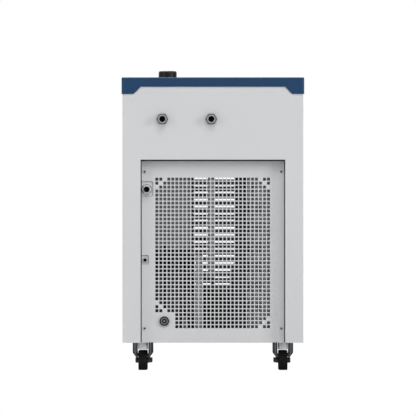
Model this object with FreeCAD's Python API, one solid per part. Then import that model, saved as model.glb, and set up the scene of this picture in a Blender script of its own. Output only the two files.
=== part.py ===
import FreeCAD, Part
import math
import os

V = FreeCAD.Vector
X_AXIS = V(1, 0, 0)
Y_AXIS = V(0, 1, 0)
Z_AXIS = V(0, 0, 1)
DIAGONALS = (45.0, 135.0)

# How near two numbers count as equal when edges are picked out
FLAT = 1e-6
NEAR = 1e-4

# The floor-standing recirculating chiller. Millimetres, +Z up, the rear with its water ports faces +Y.
# The origin lies on the floor, under the middle of the whole machine.

# Case of folded sheet
CASE_WIDTH = 450.0
CASE_DEPTH = 500.0
CASE_HEIGHT = 658.8
SHEET = 1.5
CORNER_RETURN = 20.0
CORNER_RADIUS = 2.5
TOP_LIP = 12.0
PANEL_GAP = 0.5
STRAP_WIDTH = 12.0
SKIRT_DROP = 8.0
PAN_SHEET = 2.0
PAN_FLANGE = 22.0

# Recess in the rear with its perforated panel
RECESS_SIDE_MARGIN = 45.0
RECESS_HEIGHT = 456.0
RECESS_DEPTH = 30.0
RECESS_FLANGE = 20.0
GRILLE_SIDE_GAP = 2.5
GRILLE_LIFT = 1.0
HOLE_PITCH = 15.0
HOLE_SIZE = 10.5
HOLE_FIELD_SIDE_MARGIN = 35.5
HOLE_FIELD_BOTTOM_MARGIN = 36.0
HOLE_FIELD_SHIFT = 0.4
HOLE_FIELD_TOP_MARGIN = 42.5
BLANK_DIAGONAL = 2
DRAIN_BLANK_WIDTH = 48.0
DRAIN_BLANK_HEIGHT = 42.0
SCREW_INSET = 7.5
SCREW_TOP_MARGIN = 27.5
SCREW_BOTTOM_MARGIN = 35.0
SCREW_RADIUS = 2.0
SCREW_HEAD_RADIUS = 4.0
SCREW_HEAD_HEIGHT = 2.2
SCREW_LENGTH = 8.0
SCREW_CLEARANCE = 0.2
DRIVER_SOCKET_RADIUS = 1.5
DRIVER_SOCKET_DEPTH = 1.2

# Lid
LID_SHEET = 2.2
LID_GAP = 0.3
LID_SKIRT = 23.5
LID_CORNER_DROP = 18.0
LID_CORNER_TAB = 30.0
LID_CORNER_RADIUS = 5.0
LID_EDGE_RADIUS = 3.0

# Water ports, each a threaded bulkhead tube with a hexagonal nut
PORT_REACH = 24.0
PORT_HEIGHT = 557.0
SUPPLY_PORT_X = 4.0
RETURN_PORT_X = 126.0
PORT_RADIUS = 10.45
PORT_BORE_RADIUS = 7.85
PORT_NUT_FLATS = 27.0
PORT_NUT_THICKNESS = 8.0
PORT_NUT_ROUNDING = 0.965
PORT_COLLAR_RADIUS = 15.0
PORT_COLLAR_THICKNESS = 4.0
PORT_STUB_LENGTH = 15.0
OVERFLOW_INSET = 15.0
OVERFLOW_DROP = 74.0
OVERFLOW_REACH = 22.0
OVERFLOW_RADIUS = 8.3
OVERFLOW_BORE_RADIUS = 5.9
OVERFLOW_NUT_FLATS = 22.0
OVERFLOW_NUT_THICKNESS = 7.0
OVERFLOW_COLLAR_RADIUS = 11.0
OVERFLOW_STUB_LENGTH = 8.0
THREAD_CLEARANCE = 0.05
THREAD_RELIEF_LENGTH = 1.5
THREAD_RELIEF_DEPTH = 0.8
PORT_HOLE_CLEARANCE = 0.15
PORT_NOTCH_REACH = 31.0
PORT_NOTCH_ABOVE = 20.0
PORT_NOTCH_BELOW = 17.0
PORT_NOTCH_RADIUS = 8.0
PORT_TAB_REACH = 34.0
PORT_TAB_MARGIN = 6.0

# Cable gland in its small notch
GLAND_INSET = 10.7
GLAND_HEIGHT = 206.0
GLAND_RADIUS = 5.0
GLAND_BORE_RADIUS = 3.2
GLAND_COLLAR_RADIUS = 7.0
GLAND_COLLAR_THICKNESS = 2.5
GLAND_REACH = 7.0
GLAND_NOTCH_REACH = 19.5
GLAND_NOTCH_HEIGHT = 21.0

# Drain
DRAIN_INSET = 59.0
DRAIN_HEIGHT = 54.0
DRAIN_RADIUS = 12.0
DRAIN_RIM_REACH = 7.0
DRAIN_SOCKET_RADIUS = 8.6
DRAIN_BODY_RADIUS = 10.0
DRAIN_BODY_LENGTH = 13.0
DRAIN_WALL = 2.0
DRAIN_PLUG_LENGTH = 10.0
DRAIN_PLUG_PROUD = 1.0
DRAIN_PLUG_SOCKET_RADIUS = 5.6
DRAIN_PLUG_SOCKET_DEPTH = 4.5
DRAIN_PLUG_BOSS_RADIUS = 2.2
DRAIN_PLUG_CLEARANCE = 0.08
DRAIN_GRIP_COUNT = 12
DRAIN_GRIP_RADIUS = 1.3

# Casters
CASTER_HEIGHT = 76.0
CASTER_INSET_X = 50.0
CASTER_INSET_Y = 35.0
CASTER_PLATE = 60.0
CASTER_PLATE_THICKNESS = 2.5
CASTER_BOLT_SPACING = 46.0
CASTER_BOLT_RADIUS = 3.0
CASTER_BOLT_CLEARANCE = 0.2
CASTER_BOLT_HEAD_RADIUS = 5.4
CASTER_BOLT_HEAD_DEPTH = 2.2
CASTER_TRAIL = 22.0
KINGPIN_RADIUS = 6.0
KINGPIN_CUP_RADIUS = 11.0
KINGPIN_CUP_HEIGHT = 19.0
SWIVEL_GAP = 0.3
SWIVEL_CLEARANCE = 0.08
FORK_SHEET = 2.5
FORK_BEND_RADIUS = 2.2
FORK_HALF_WIDTH = 25.0
FORK_HALF_LENGTH = 18.0
FORK_EYE_RADIUS = 7.0
FORK_PINCH = 8.0
FORK_PINCH_HIGH = 21.0
FORK_PINCH_LOW = 9.0
WHEEL_RADIUS = 25.0
WHEEL_WIDTH = 22.0
WHEEL_HUB_GAP = 0.5
WHEEL_HUB_RADIUS = 7.0
WHEEL_DISH_RADIUS = 14.0
WHEEL_DISH_DEPTH = 3.0
WHEEL_EDGE = 2.5
AXLE_RADIUS = 4.0
AXLE_CLEARANCE = 0.05
AXLE_HEAD_RADIUS = 6.0
AXLE_HEAD_THICKNESS = 1.5
AXLE_NUT_FLATS = 12.0
AXLE_NUT_THICKNESS = 6.0

# Tank, its stand and the filler
STAND_HEIGHT = 210.0
STAND_SHEET = 1.5
STAND_LEG = 17.0
STAND_SIDE_GAP = 13.5
STAND_REAR_GAP = 42.5
STAND_WIDTH = 184.0
STAND_DEPTH = 275.0
TANK_WIDTH = 160.0
TANK_DEPTH = 175.0
TANK_HEIGHT = 302.0
TANK_WALL = 1.5
TANK_RADIUS = 12.0
TANK_STAND_MARGIN = 2.0
DRAIN_STUB_RISE = 17.0
OVERFLOW_STUB_DROP = 30.0
OUTLET_STUB_RISE = 27.0
NECK_OFFSET_X = -15.0
NECK_OFFSET_Y = 17.0
NECK_RADIUS = 18.0
NECK_BORE_RADIUS = 15.0
NECK_RISE = 11.0
NECK_FLANGE_RADIUS = 24.0
NECK_FLANGE_THICKNESS = 3.0
NECK_HOLE_CLEARANCE = 1.0
CAP_RADIUS = 22.5
CAP_HEIGHT = 17.5
CAP_LIFT = 0.5
CAP_CLEARANCE = 0.3
CAP_EDGE_BEVEL = 2.0
CAP_PLAIN_RIM = 4.0
CAP_RIB_COUNT = 24
CAP_RIB_RADIUS = 1.2
CAP_SEAL_THICKNESS = 2.0
CAP_SEAL_SQUEEZE_GAP = 0.05

# Hoses and pipes
HOSE_RADIUS = 8.5
SMALL_HOSE_RADIUS = 6.0
HOSE_BEND = 20.0
SMALL_HOSE_BEND = 8.0
SMALL_HOSE_STRAIGHT = 1.0
STUB_WALL = 2.0
TANK_STUB_LENGTH = 10.0
PIPE_RADIUS = 4.0
PIPE_SOCKET_RADIUS = 5.0
PIPE_BEND = 14.0
HOSE_BEHIND_GRILLE = 5.0
LOW_PIPE_HEIGHT = 14.0
LIQUID_SIDE_STEP = 20.0
LIQUID_APPROACH = 56.0
SUCTION_STAND_GAP = 28.0
RETURN_SIDE_RUN = 60.0
RETURN_DROP_GAP = 30.0

# Plate heat exchanger
PLATE_BLOCK_WIDTH = 76.0
PLATE_BLOCK_HEIGHT = 203.0
PLATE_BLOCK_DEPTH = 50.0
PLATE_BLOCK_RADIUS = 18.0
PLATE_GROOVE_COUNT = 6
PLATE_GROOVE_DEPTH = 1.5
PLATE_STUB_SPREAD = 18.0
PLATE_STUB_INSET = 18.0
PLATE_STUB_LENGTH = 10.0
PLATE_TANK_GAP = 25.0

# Circulation pump
PUMP_GAP = 55.0
PUMP_OFFSET_X = -28.0
PUMP_MOTOR_RADIUS = 38.0
PUMP_MOTOR_HEIGHT = 142.0
PUMP_VOLUTE_RADIUS = 45.0
PUMP_VOLUTE_HEIGHT = 34.0
PUMP_FOOT_WIDTH = 90.0
PUMP_FOOT_DEPTH = 76.0
PUMP_FOOT_THICKNESS = 4.0
PUMP_FOOT_RISE = 20.0
PUMP_INLET_RISE = 8.0
PUMP_OUTLET_OFFSET = 28.0
PUMP_OUTLET_REACH = 50.0
PUMP_RIB_COUNT = 12
PUMP_RIB_REACH = 3.0
PUMP_RIB_WIDTH = 2.0
PUMP_RIB_INSET = 15.0
PUMP_VOLUTE_BEVEL = 7.0

# Compressor
SHELL_RADIUS = 70.0
SHELL_HEIGHT = 172.0
SHELL_DOME = 32.0
SHELL_DOME_STEPS = 4
SHELL_SEAM_HEIGHT = 105.0
SHELL_SEAM_RADIUS = 3.0
SHELL_OFFSET_Y = -42.0
SHELL_FOOT_SPREAD = 66.0
SHELL_FOOT_THICKNESS = 3.0
SHELL_STUB_OFFSET = 58.0
SHELL_STUB_REACH = 90.0
SHELL_STUB_RADIUS = 5.0
SHELL_SUCTION_HEIGHT = 140.0
SHELL_DISCHARGE_HEIGHT = 42.0
TERMINAL_WIDTH = 44.0
TERMINAL_HEIGHT = 50.0
TERMINAL_REACH = 12.0
TERMINAL_DROP = 8.0
MOUNT_RADIUS = 11.0
MOUNT_WAIST = 8.0
MOUNT_HEIGHT = 12.0
MOUNT_BOLT_RADIUS = 4.0

# Condenser and fan
FAN_SPACE = 98.5
CONDENSER_THICKNESS = 50.0
CONDENSER_LENGTH = 340.0
CONDENSER_HEIGHT = 410.0
CONDENSER_REAR_GAP = 57.5
CONDENSER_PLATE = 1.5
CONDENSER_FIN_SINK = 6.0
CONDENSER_FIN_COUNT = 22
CONDENSER_FIN_SLOT = 10.0
CONDENSER_FIN_DEPTH = 18.0
CONDENSER_BEND_COUNT = 6
CONDENSER_BEND_PITCH = 24.0
CONDENSER_STUB_LENGTH = 15.0
CONDENSER_STUB_INSET = 28.0
CONDENSER_OUTLET_HEIGHT = 222.0
HOOD_DEPTH = 30.0
FAN_RADIUS = 145.0
FAN_TIP_GAP = 5.0
FAN_HUB_RADIUS = 38.0
FAN_HUB_LENGTH = 24.0
FAN_BLADE_COUNT = 5
FAN_BLADE_THICKNESS = 2.0
FAN_BLADE_PITCH = 24.0
FAN_BLADE_ROOT_CHORD = 46.0
FAN_BLADE_TIP_CHORD = 56.0
FAN_SHAFT_RADIUS = 4.0
FAN_SHAFT_CLEARANCE = 0.05
FAN_BRACKET_STANDOFF = 21.0
FAN_BRACKET_WIDTH = 14.0
FAN_BRACKET_SHEET = 2.0
FAN_MOTOR_RADIUS = 42.0
FAN_MOTOR_LENGTH = 34.0
FAN_MOTOR_BEVEL = 5.0
FAN_HUB_BEVEL = 5.0
FAN_SHAFT_ENGAGEMENT = 18.0
FAN_BORE_DEPTH = 19.2
FAN_BLADE_ROOT_RADIUS = 30.4
FAN_BLADE_SHOULDER_RADIUS = 130.5
FAN_BLADE_LEAD_BOW = 5.0
FAN_BLADE_TRAIL_BOW = 8.0
FAN_BLADE_TIP_SHIFT = 4.0
FAN_AIR_GAP = 4.0

# Filter drier
DRIER_RADIUS = 16.0
DRIER_LENGTH = 120.0
DRIER_NECK_RADIUS = 6.0
DRIER_NECK_LENGTH = 12.0
DRIER_WALL_GAP = 36.0
DRIER_CONDENSER_GAP = 17.0
DRIER_LIFT = 72.0

# Electrical box
ELECTRICAL_WIDTH = 183.0
ELECTRICAL_DEPTH = 260.0
ELECTRICAL_HEIGHT = 150.0
ELECTRICAL_TOP_GAP = 48.0
ELECTRICAL_FRONT_GAP = 118.0
ELECTRICAL_LID_LIP = 4.0
ELECTRICAL_WALL = 1.5

# Front: air slots and controls
SLOT_PITCH = 17.75
SLOT_HEIGHT = 4.5
SLOT_LENGTH = 113.0
SLOT_WEB = 9.0
SLOT_ROWS = 18
SLOT_BOTTOM = 109.75
SIDE_SLOT_LENGTH = 140.0
SIDE_SLOT_ROWS = 15
FASCIA_WIDTH = 280.0
FASCIA_HEIGHT = 110.0
FASCIA_PROUD = 3.0
FASCIA_LAP = 10.0
FASCIA_TOP_MARGIN = 33.0
FASCIA_RADIUS = 6.0
FASCIA_EDGE_RADIUS = 1.2
FASCIA_WALL = 2.5
FASCIA_WALL_DEPTH = 12.0
FASCIA_FIT = 0.2
WINDOW_WIDTH = 100.0
WINDOW_HEIGHT = 44.0
WINDOW_X = -60.0
WINDOW_THICKNESS = 1.6
WINDOW_LEDGE = 3.0
KEY_SIZE = 18.0
KEY_PITCH = 30.0
KEY_FIRST_X = 15.0
KEY_NAMES = ("key_down", "key_up", "key_enter")
KEY_PROUD = 2.0
KEY_CLEARANCE = 0.3
KEY_EDGE_RADIUS = 1.0
KEY_FLANGE = 2.0
KEY_FLANGE_THICKNESS = 1.5
KEY_TRAVEL = 1.5
KEY_STEM = 6.0
KEY_STEM_LENGTH = 4.0
BOARD_THICKNESS = 1.6
BOARD_MARGIN = 2.0
BOSS_RADIUS = 3.5
BOSS_INSET = 9.0
SWITCH_X = 112.0
SWITCH_WIDTH = 22.0
SWITCH_HEIGHT = 32.0
SWITCH_FRAME = 1.5
SWITCH_BODY_WIDTH = 19.0
SWITCH_BODY_HEIGHT = 28.0
SWITCH_BODY_DEPTH = 26.0
SWITCH_WALL = 1.8
SWITCH_BACK = 5.4
ROCKER_CLEARANCE = 0.4
ROCKER_TILT = 9.0
ROCKER_PIN_RADIUS = 1.5
ROCKER_PIN_CLEARANCE = 0.05
ROCKER_PIVOT_DEPTH = 2.5
ROCKER_CROWN = 0.6
ROCKER_BACK = 5.0

# Places worked out from the sizes above
case_bottom = CASTER_HEIGHT - SKIRT_DROP
case_top = case_bottom + CASE_HEIGHT
lid_top = case_top + LID_SHEET
half_width = CASE_WIDTH / 2
inner_x = half_width - SHEET
rocker_radius = SWITCH_BODY_HEIGHT / 2 - SWITCH_WALL - ROCKER_CLEARANCE
rocker_face = ROCKER_PIVOT_DEPTH + SWITCH_FRAME + ROCKER_CROWN
rocker_tip_angle = math.acos(rocker_face * math.cos(math.radians(ROCKER_TILT)) / rocker_radius)
rocker_lead = math.cos(rocker_tip_angle - math.radians(2 * ROCKER_TILT))
rocker_reach = rocker_radius * rocker_lead - ROCKER_PIVOT_DEPTH
caster_reach = CASTER_TRAIL + WHEEL_RADIUS - CASTER_INSET_Y - SHEET
front_reach = max(FASCIA_PROUD + KEY_PROUD, FASCIA_PROUD + rocker_reach, caster_reach)
rear_y = (CASE_DEPTH - PORT_REACH + front_reach) / 2
front_y = rear_y - CASE_DEPTH
front_inner_y = front_y + SHEET
recess_half = half_width - RECESS_SIDE_MARGIN
recess_top = case_bottom + RECESS_HEIGHT
grille_y = rear_y - RECESS_DEPTH
flange_y = grille_y - SHEET
inside_rear_y = flange_y - SHEET
pan_bottom = CASTER_HEIGHT
pan_floor = pan_bottom + PAN_SHEET

plate_bottom = pan_bottom - CASTER_PLATE_THICKNESS
fork_top = plate_bottom - SWIVEL_GAP
fork_under = fork_top - FORK_SHEET
cup_top = fork_under - SWIVEL_GAP

grille_half = recess_half - GRILLE_SIDE_GAP
grille_bottom = case_bottom + GRILLE_LIFT
grille_top = recess_top - GRILLE_SIDE_GAP
port_z = case_bottom + PORT_HEIGHT
overflow_x = recess_half - OVERFLOW_INSET
overflow_z = recess_top - OVERFLOW_DROP
gland_x = recess_half - GLAND_INSET
gland_z = case_bottom + GLAND_HEIGHT
drain_x = recess_half - DRAIN_INSET
drain_z = case_bottom + DRAIN_HEIGHT
port_inner_y = rear_y - SHEET - PORT_COLLAR_THICKNESS - PORT_STUB_LENGTH
overflow_inner_y = inside_rear_y - PORT_COLLAR_THICKNESS - OVERFLOW_STUB_LENGTH
hose_drop_y = inside_rear_y - HOSE_BEHIND_GRILLE - HOSE_RADIUS

stand_x1 = inner_x - STAND_SIDE_GAP
stand_x0 = stand_x1 - STAND_WIDTH
stand_y1 = inside_rear_y - STAND_REAR_GAP
stand_y0 = stand_y1 - STAND_DEPTH
shelf_z = pan_floor + STAND_HEIGHT
tank_x1 = stand_x1 - TANK_STAND_MARGIN
tank_x0 = tank_x1 - TANK_WIDTH
tank_x = (tank_x0 + tank_x1) / 2
tank_y1 = stand_y1
tank_y0 = tank_y1 - TANK_DEPTH
tank_y = (tank_y0 + tank_y1) / 2
tank_top = shelf_z + TANK_HEIGHT
neck_x = tank_x + NECK_OFFSET_X
neck_y = tank_y + NECK_OFFSET_Y
neck_top = lid_top + NECK_RISE
cap_bottom = lid_top + CAP_LIFT
cap_top = cap_bottom + CAP_HEIGHT
seal_z = neck_top + CAP_SEAL_SQUEEZE_GAP
drain_stub_z = shelf_z + DRAIN_STUB_RISE
overflow_stub_z = tank_top - OVERFLOW_STUB_DROP
outlet_stub_z = shelf_z + OUTLET_STUB_RISE
small_hose_y = tank_y1 + TANK_STUB_LENGTH + SMALL_HOSE_STRAIGHT + SMALL_HOSE_BEND

plate_x = tank_x1 - PLATE_BLOCK_WIDTH / 2 - TANK_STAND_MARGIN
plate_y1 = tank_y0 - PLATE_TANK_GAP
plate_y0 = plate_y1 - PLATE_BLOCK_DEPTH
plate_stub_y = plate_y0 - PLATE_STUB_LENGTH
plate_low_z = shelf_z + PLATE_STUB_INSET
plate_high_z = shelf_z + PLATE_BLOCK_HEIGHT - PLATE_STUB_INSET
water_stub_x = plate_x - PLATE_STUB_SPREAD
gas_stub_x = plate_x + PLATE_STUB_SPREAD

pump_x = tank_x + PUMP_OFFSET_X
pump_y = stand_y0 - PUMP_GAP
pump_motor_z = pan_floor + PUMP_FOOT_RISE
pump_volute_z = pump_motor_z + PUMP_MOTOR_HEIGHT - PUMP_FOOT_RISE
pump_top = pump_volute_z + PUMP_VOLUTE_HEIGHT
pump_inlet_z = pump_top + PUMP_INLET_RISE
pump_outlet_y = pump_y + PUMP_OUTLET_OFFSET
pump_outlet_x = pump_x - PUMP_OUTLET_REACH
pump_outlet_z = pump_volute_z + PUMP_VOLUTE_HEIGHT / 2

shell_x = tank_x
shell_y = tank_y + SHELL_OFFSET_Y
shell_z = pan_floor + MOUNT_HEIGHT

condenser_x0 = -inner_x + FAN_SPACE
condenser_x1 = condenser_x0 + CONDENSER_THICKNESS
condenser_x = (condenser_x0 + condenser_x1) / 2
condenser_y1 = inside_rear_y - CONDENSER_REAR_GAP
condenser_y0 = condenser_y1 - CONDENSER_LENGTH
condenser_top = pan_floor + CONDENSER_HEIGHT
fan_y = (condenser_y0 + condenser_y1) / 2
fan_z = (pan_floor + condenser_top) / 2
hood_x = condenser_x0 - HOOD_DEPTH
bracket_x = hood_x - FAN_BRACKET_STANDOFF
low_pipe_z = pan_floor + LOW_PIPE_HEIGHT
drier_x = condenser_x1 + DRIER_CONDENSER_GAP
drier_y = front_inner_y + DRIER_WALL_GAP
drier_z = pan_floor + DRIER_LIFT

fascia_z = case_top - FASCIA_TOP_MARGIN - FASCIA_HEIGHT / 2
fascia_face_y = front_y - FASCIA_PROUD
board_y = front_y + KEY_CLEARANCE + KEY_FLANGE_THICKNESS + KEY_STEM_LENGTH + KEY_TRAVEL + KEY_CLEARANCE


def block(x0, x1, y0, y1, z0, z1):
    """A box between its lowest and highest corners."""
    return Part.makeBox(x1 - x0, y1 - y0, z1 - z0, V(x0, y0, z0))


def rod(start, axis, radius, length):
    """A round bar that starts at a point and runs along an axis."""
    return Part.makeCylinder(radius, length, start, axis)


def tube(start, axis, radius, bore, length):
    """A round bar with a hole along its whole length."""
    return rod(start, axis, radius, length).cut(rod(start, axis, bore, length))


def polygon(points):
    """A flat face inside straight edges."""
    return Part.Face(Part.makePolygon(points + [points[0]]))


def hexagon(centre, axis, flats, length):
    """A hexagonal bar across a Y or X axis, with one corner at the top."""
    reach = flats / math.sqrt(3)
    side = axis.cross(Z_AXIS)
    corners = []
    for number in range(6):
        angle = math.radians(60 * number + 90)
        corners.append(centre + side * (reach * math.cos(angle)) + Z_AXIS * (reach * math.sin(angle)))
    return polygon(corners).extrude(axis * length)


def joined(first, *others):
    """Touching or crossing solids as one clean solid."""
    return first.fuse(list(others)).removeSplitter()


def vertical_edges(shape, x=None, y=None):
    """The edges of a shape that run along Z, at the given X and Y where these are given."""
    found = []
    for edge in shape.Edges:
        box = edge.BoundBox
        flat = box.XLength < FLAT and box.YLength < FLAT
        at_x = x is None or any(abs(box.XMin - value) < NEAR for value in x)
        at_y = y is None or any(abs(box.YMin - value) < NEAR for value in y)
        if flat and at_x and at_y:
            found.append(edge)
    return found


def edges_at(shape, x=None, y=None, z=None):
    """The edges of a shape that lie wholly in the plane at the given X, Y or Z."""
    found = []
    for edge in shape.Edges:
        box = edge.BoundBox
        on_x = x is None or (box.XLength < FLAT and abs(box.XMin - x) < NEAR)
        on_y = y is None or (box.YLength < FLAT and abs(box.YMin - y) < NEAR)
        on_z = z is None or (box.ZLength < FLAT and abs(box.ZMin - z) < NEAR)
        if on_x and on_y and on_z:
            found.append(edge)
    return found


def bent_bar(points, radius, bend):
    """A round bar along straight runs that are joined by arcs of one bend radius."""
    pieces = []
    last = points[0]
    for before, corner, after in zip(points, points[1:], points[2:]):
        come = (corner - before).normalize()
        go = (after - corner).normalize()
        turn = come.getAngle(go)
        reach = bend * math.tan(turn / 2)
        enter = corner - come * reach
        leave = corner + go * reach
        inward = (go - come).normalize()
        middle = corner + inward * (bend / math.cos(turn / 2) - bend)
        pieces.append(Part.LineSegment(last, enter).toShape())
        pieces.append(Part.Arc(enter, middle, leave).toShape())
        last = leave
    pieces.append(Part.LineSegment(last, points[-1]).toShape())
    path = Part.Wire(pieces)
    start = (points[1] - points[0]).normalize()
    section = Part.Wire([Part.makeCircle(radius, points[0], start)])
    return path.makePipeShell([section], True, True)


def slot_rows(x0, x1, y0, y1, first_z, rows):
    """Level air slots, one above the other, ready to be cut from a panel."""
    return [block(x0, x1, y0, y1, first_z + row * SLOT_PITCH, first_z + row * SLOT_PITCH + SLOT_HEIGHT)
            for row in range(rows)]


def base_pan():
    """The tray that carries everything: a floor with all four edges turned up."""
    outer = block(-inner_x, inner_x, front_inner_y, inside_rear_y, pan_bottom, pan_floor + PAN_FLANGE)
    inner = block(-inner_x + PAN_SHEET, inner_x - PAN_SHEET, front_inner_y + PAN_SHEET,
                  inside_rear_y - PAN_SHEET, pan_floor, pan_floor + PAN_FLANGE)
    pan = outer.cut(inner)
    holes = []
    for centre in caster_places().values():
        for dx in (-1, 1):
            for dy in (-1, 1):
                place = V(centre[0] + dx * CASTER_BOLT_SPACING / 2, centre[1] + dy * CASTER_BOLT_SPACING / 2,
                          pan_bottom)
                holes.append(rod(place, Z_AXIS, CASTER_BOLT_RADIUS + CASTER_BOLT_CLEARANCE, PAN_SHEET))
    return pan.cut(holes)


def side_panel(side):
    """A flat side with a lip under the lid and straps that lie behind the folded corners."""
    y0 = front_y + CORNER_RETURN + PANEL_GAP
    y1 = rear_y - CORNER_RETURN - PANEL_GAP
    strap_bottom = pan_floor + PAN_FLANGE + PANEL_GAP
    strap_top = case_top - SHEET - PANEL_GAP
    plate = block(inner_x, half_width, y0, y1, case_bottom, case_top)
    lip = block(inner_x - TOP_LIP, inner_x, y0, y1, case_top - SHEET, case_top)
    pieces = [lip]
    for edge_y in (y0, y1):
        pieces.append(block(inner_x - SHEET, inner_x, edge_y - STRAP_WIDTH, edge_y + STRAP_WIDTH,
                            strap_bottom, strap_top))
    panel = joined(plate, *pieces)
    if side < 0:
        panel = panel.mirror(V(0, 0, 0), X_AXIS)
        first = fan_z - (SIDE_SLOT_ROWS - 1) * SLOT_PITCH / 2 - SLOT_HEIGHT / 2
        near = SLOT_WEB / 2
        far = near + SIDE_SLOT_LENGTH
        slots = slot_rows(-half_width, -inner_x, fan_y + near, fan_y + far, first, SIDE_SLOT_ROWS)
        slots += slot_rows(-half_width, -inner_x, fan_y - far, fan_y - near, first, SIDE_SLOT_ROWS)
        panel = panel.cut(slots)
    return panel


def folded_face(outer_y, inner_y, back_y):
    """A full-width sheet with both side edges and the top folded back, and rounded corners."""
    low, high = min(outer_y, inner_y), max(outer_y, inner_y)
    deep_low, deep_high = min(outer_y, back_y), max(outer_y, back_y)
    lip_y = outer_y + math.copysign(TOP_LIP, back_y - outer_y)
    face = block(-half_width, half_width, low, high, case_bottom, case_top)
    left = block(-half_width, -inner_x, deep_low, deep_high, case_bottom, case_top)
    right = block(inner_x, half_width, deep_low, deep_high, case_bottom, case_top)
    lip = block(-inner_x, inner_x, min(outer_y, lip_y), max(outer_y, lip_y), case_top - SHEET, case_top)
    shape = joined(face, left, right, lip)
    corners = vertical_edges(shape, x=(-half_width, half_width), y=(outer_y,))
    return shape.makeFillet(CORNER_RADIUS, corners)


def front_panel():
    """The front sheet with its bank of air slots and the window for the controls."""
    panel = folded_face(front_y, front_inner_y, front_y + CORNER_RETURN)
    first = case_bottom + SLOT_BOTTOM
    near = SLOT_WEB / 2
    far = near + SLOT_LENGTH
    cuts = slot_rows(near, far, front_y, front_inner_y, first, SLOT_ROWS)
    cuts += slot_rows(-far, -near, front_y, front_inner_y, first, SLOT_ROWS)
    reach_x = FASCIA_WIDTH / 2 - FASCIA_LAP
    reach_z = FASCIA_HEIGHT / 2 - FASCIA_LAP
    cuts.append(block(-reach_x, reach_x, front_y, front_inner_y, fascia_z - reach_z, fascia_z + reach_z))
    return panel.cut(cuts)


def rear_surround():
    """The rear sheet: folded corners outside, and a deep recess folded in around the perforated panel."""
    sheet = folded_face(rear_y, rear_y - SHEET, rear_y - CORNER_RETURN)
    sheet = sheet.cut(block(-recess_half, recess_half, rear_y - SHEET, rear_y, case_bottom, recess_top))
    folds = []
    for side in (-1, 1):
        wall = sorted((side * recess_half, side * (recess_half + SHEET)))
        foot = sorted((side * (recess_half + SHEET), side * (recess_half - RECESS_FLANGE)))
        folds.append(block(wall[0], wall[1], inside_rear_y, rear_y, case_bottom, recess_top + SHEET))
        folds.append(block(foot[0], foot[1], inside_rear_y, flange_y, case_bottom, recess_top + SHEET))
    folds.append(block(-recess_half, recess_half, inside_rear_y, rear_y, recess_top, recess_top + SHEET))
    folds.append(block(-recess_half, recess_half, inside_rear_y, flange_y, recess_top - RECESS_FLANGE,
                       recess_top))
    folds.append(block(recess_half - PORT_TAB_REACH, recess_half, inside_rear_y, flange_y,
                       overflow_z - PORT_NOTCH_BELOW - PORT_TAB_MARGIN,
                       overflow_z + PORT_NOTCH_ABOVE + PORT_TAB_MARGIN))
    sheet = joined(sheet, *folds)
    holes = []
    for port_x in (SUPPLY_PORT_X, RETURN_PORT_X):
        holes.append(rod(V(port_x, rear_y - SHEET, port_z), Y_AXIS,
                         PORT_RADIUS + PORT_HOLE_CLEARANCE, SHEET))
    holes.append(rod(V(overflow_x, inside_rear_y, overflow_z), Y_AXIS,
                     OVERFLOW_RADIUS + PORT_HOLE_CLEARANCE, SHEET))
    holes.append(rod(V(gland_x, inside_rear_y, gland_z), Y_AXIS, GLAND_RADIUS + PORT_HOLE_CLEARANCE, SHEET))
    for place in screw_places():
        holes.append(rod(V(place[0], inside_rear_y, place[1]), Y_AXIS, SCREW_RADIUS, SHEET))
    return sheet.cut(holes)


def screw_places():
    """X and Z of the four screws that hold the perforated panel."""
    x = grille_half - SCREW_INSET
    return [(side * x, z) for z in (grille_bottom + SCREW_BOTTOM_MARGIN, grille_top - SCREW_TOP_MARGIN)
            for side in (-1, 1)]


def is_blank(row, column, rows, columns):
    """True for the holes left out: a short diagonal across each corner, and the room round the drain."""
    right_to_left = columns - 1 - column
    top = row + column == BLANK_DIAGONAL or row + right_to_left == BLANK_DIAGONAL
    low = rows - 1 - row + right_to_left == BLANK_DIAGONAL
    drain_columns = math.ceil(DRAIN_BLANK_WIDTH / HOLE_PITCH)
    drain_rows = math.ceil(DRAIN_BLANK_HEIGHT / HOLE_PITCH)
    from_bottom = rows - 1 - row
    drain = column < drain_columns and from_bottom < drain_rows
    beside_drain = column + from_bottom - drain_rows == BLANK_DIAGONAL and from_bottom >= drain_rows
    return top or low or drain or (beside_drain and column <= BLANK_DIAGONAL)


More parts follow.
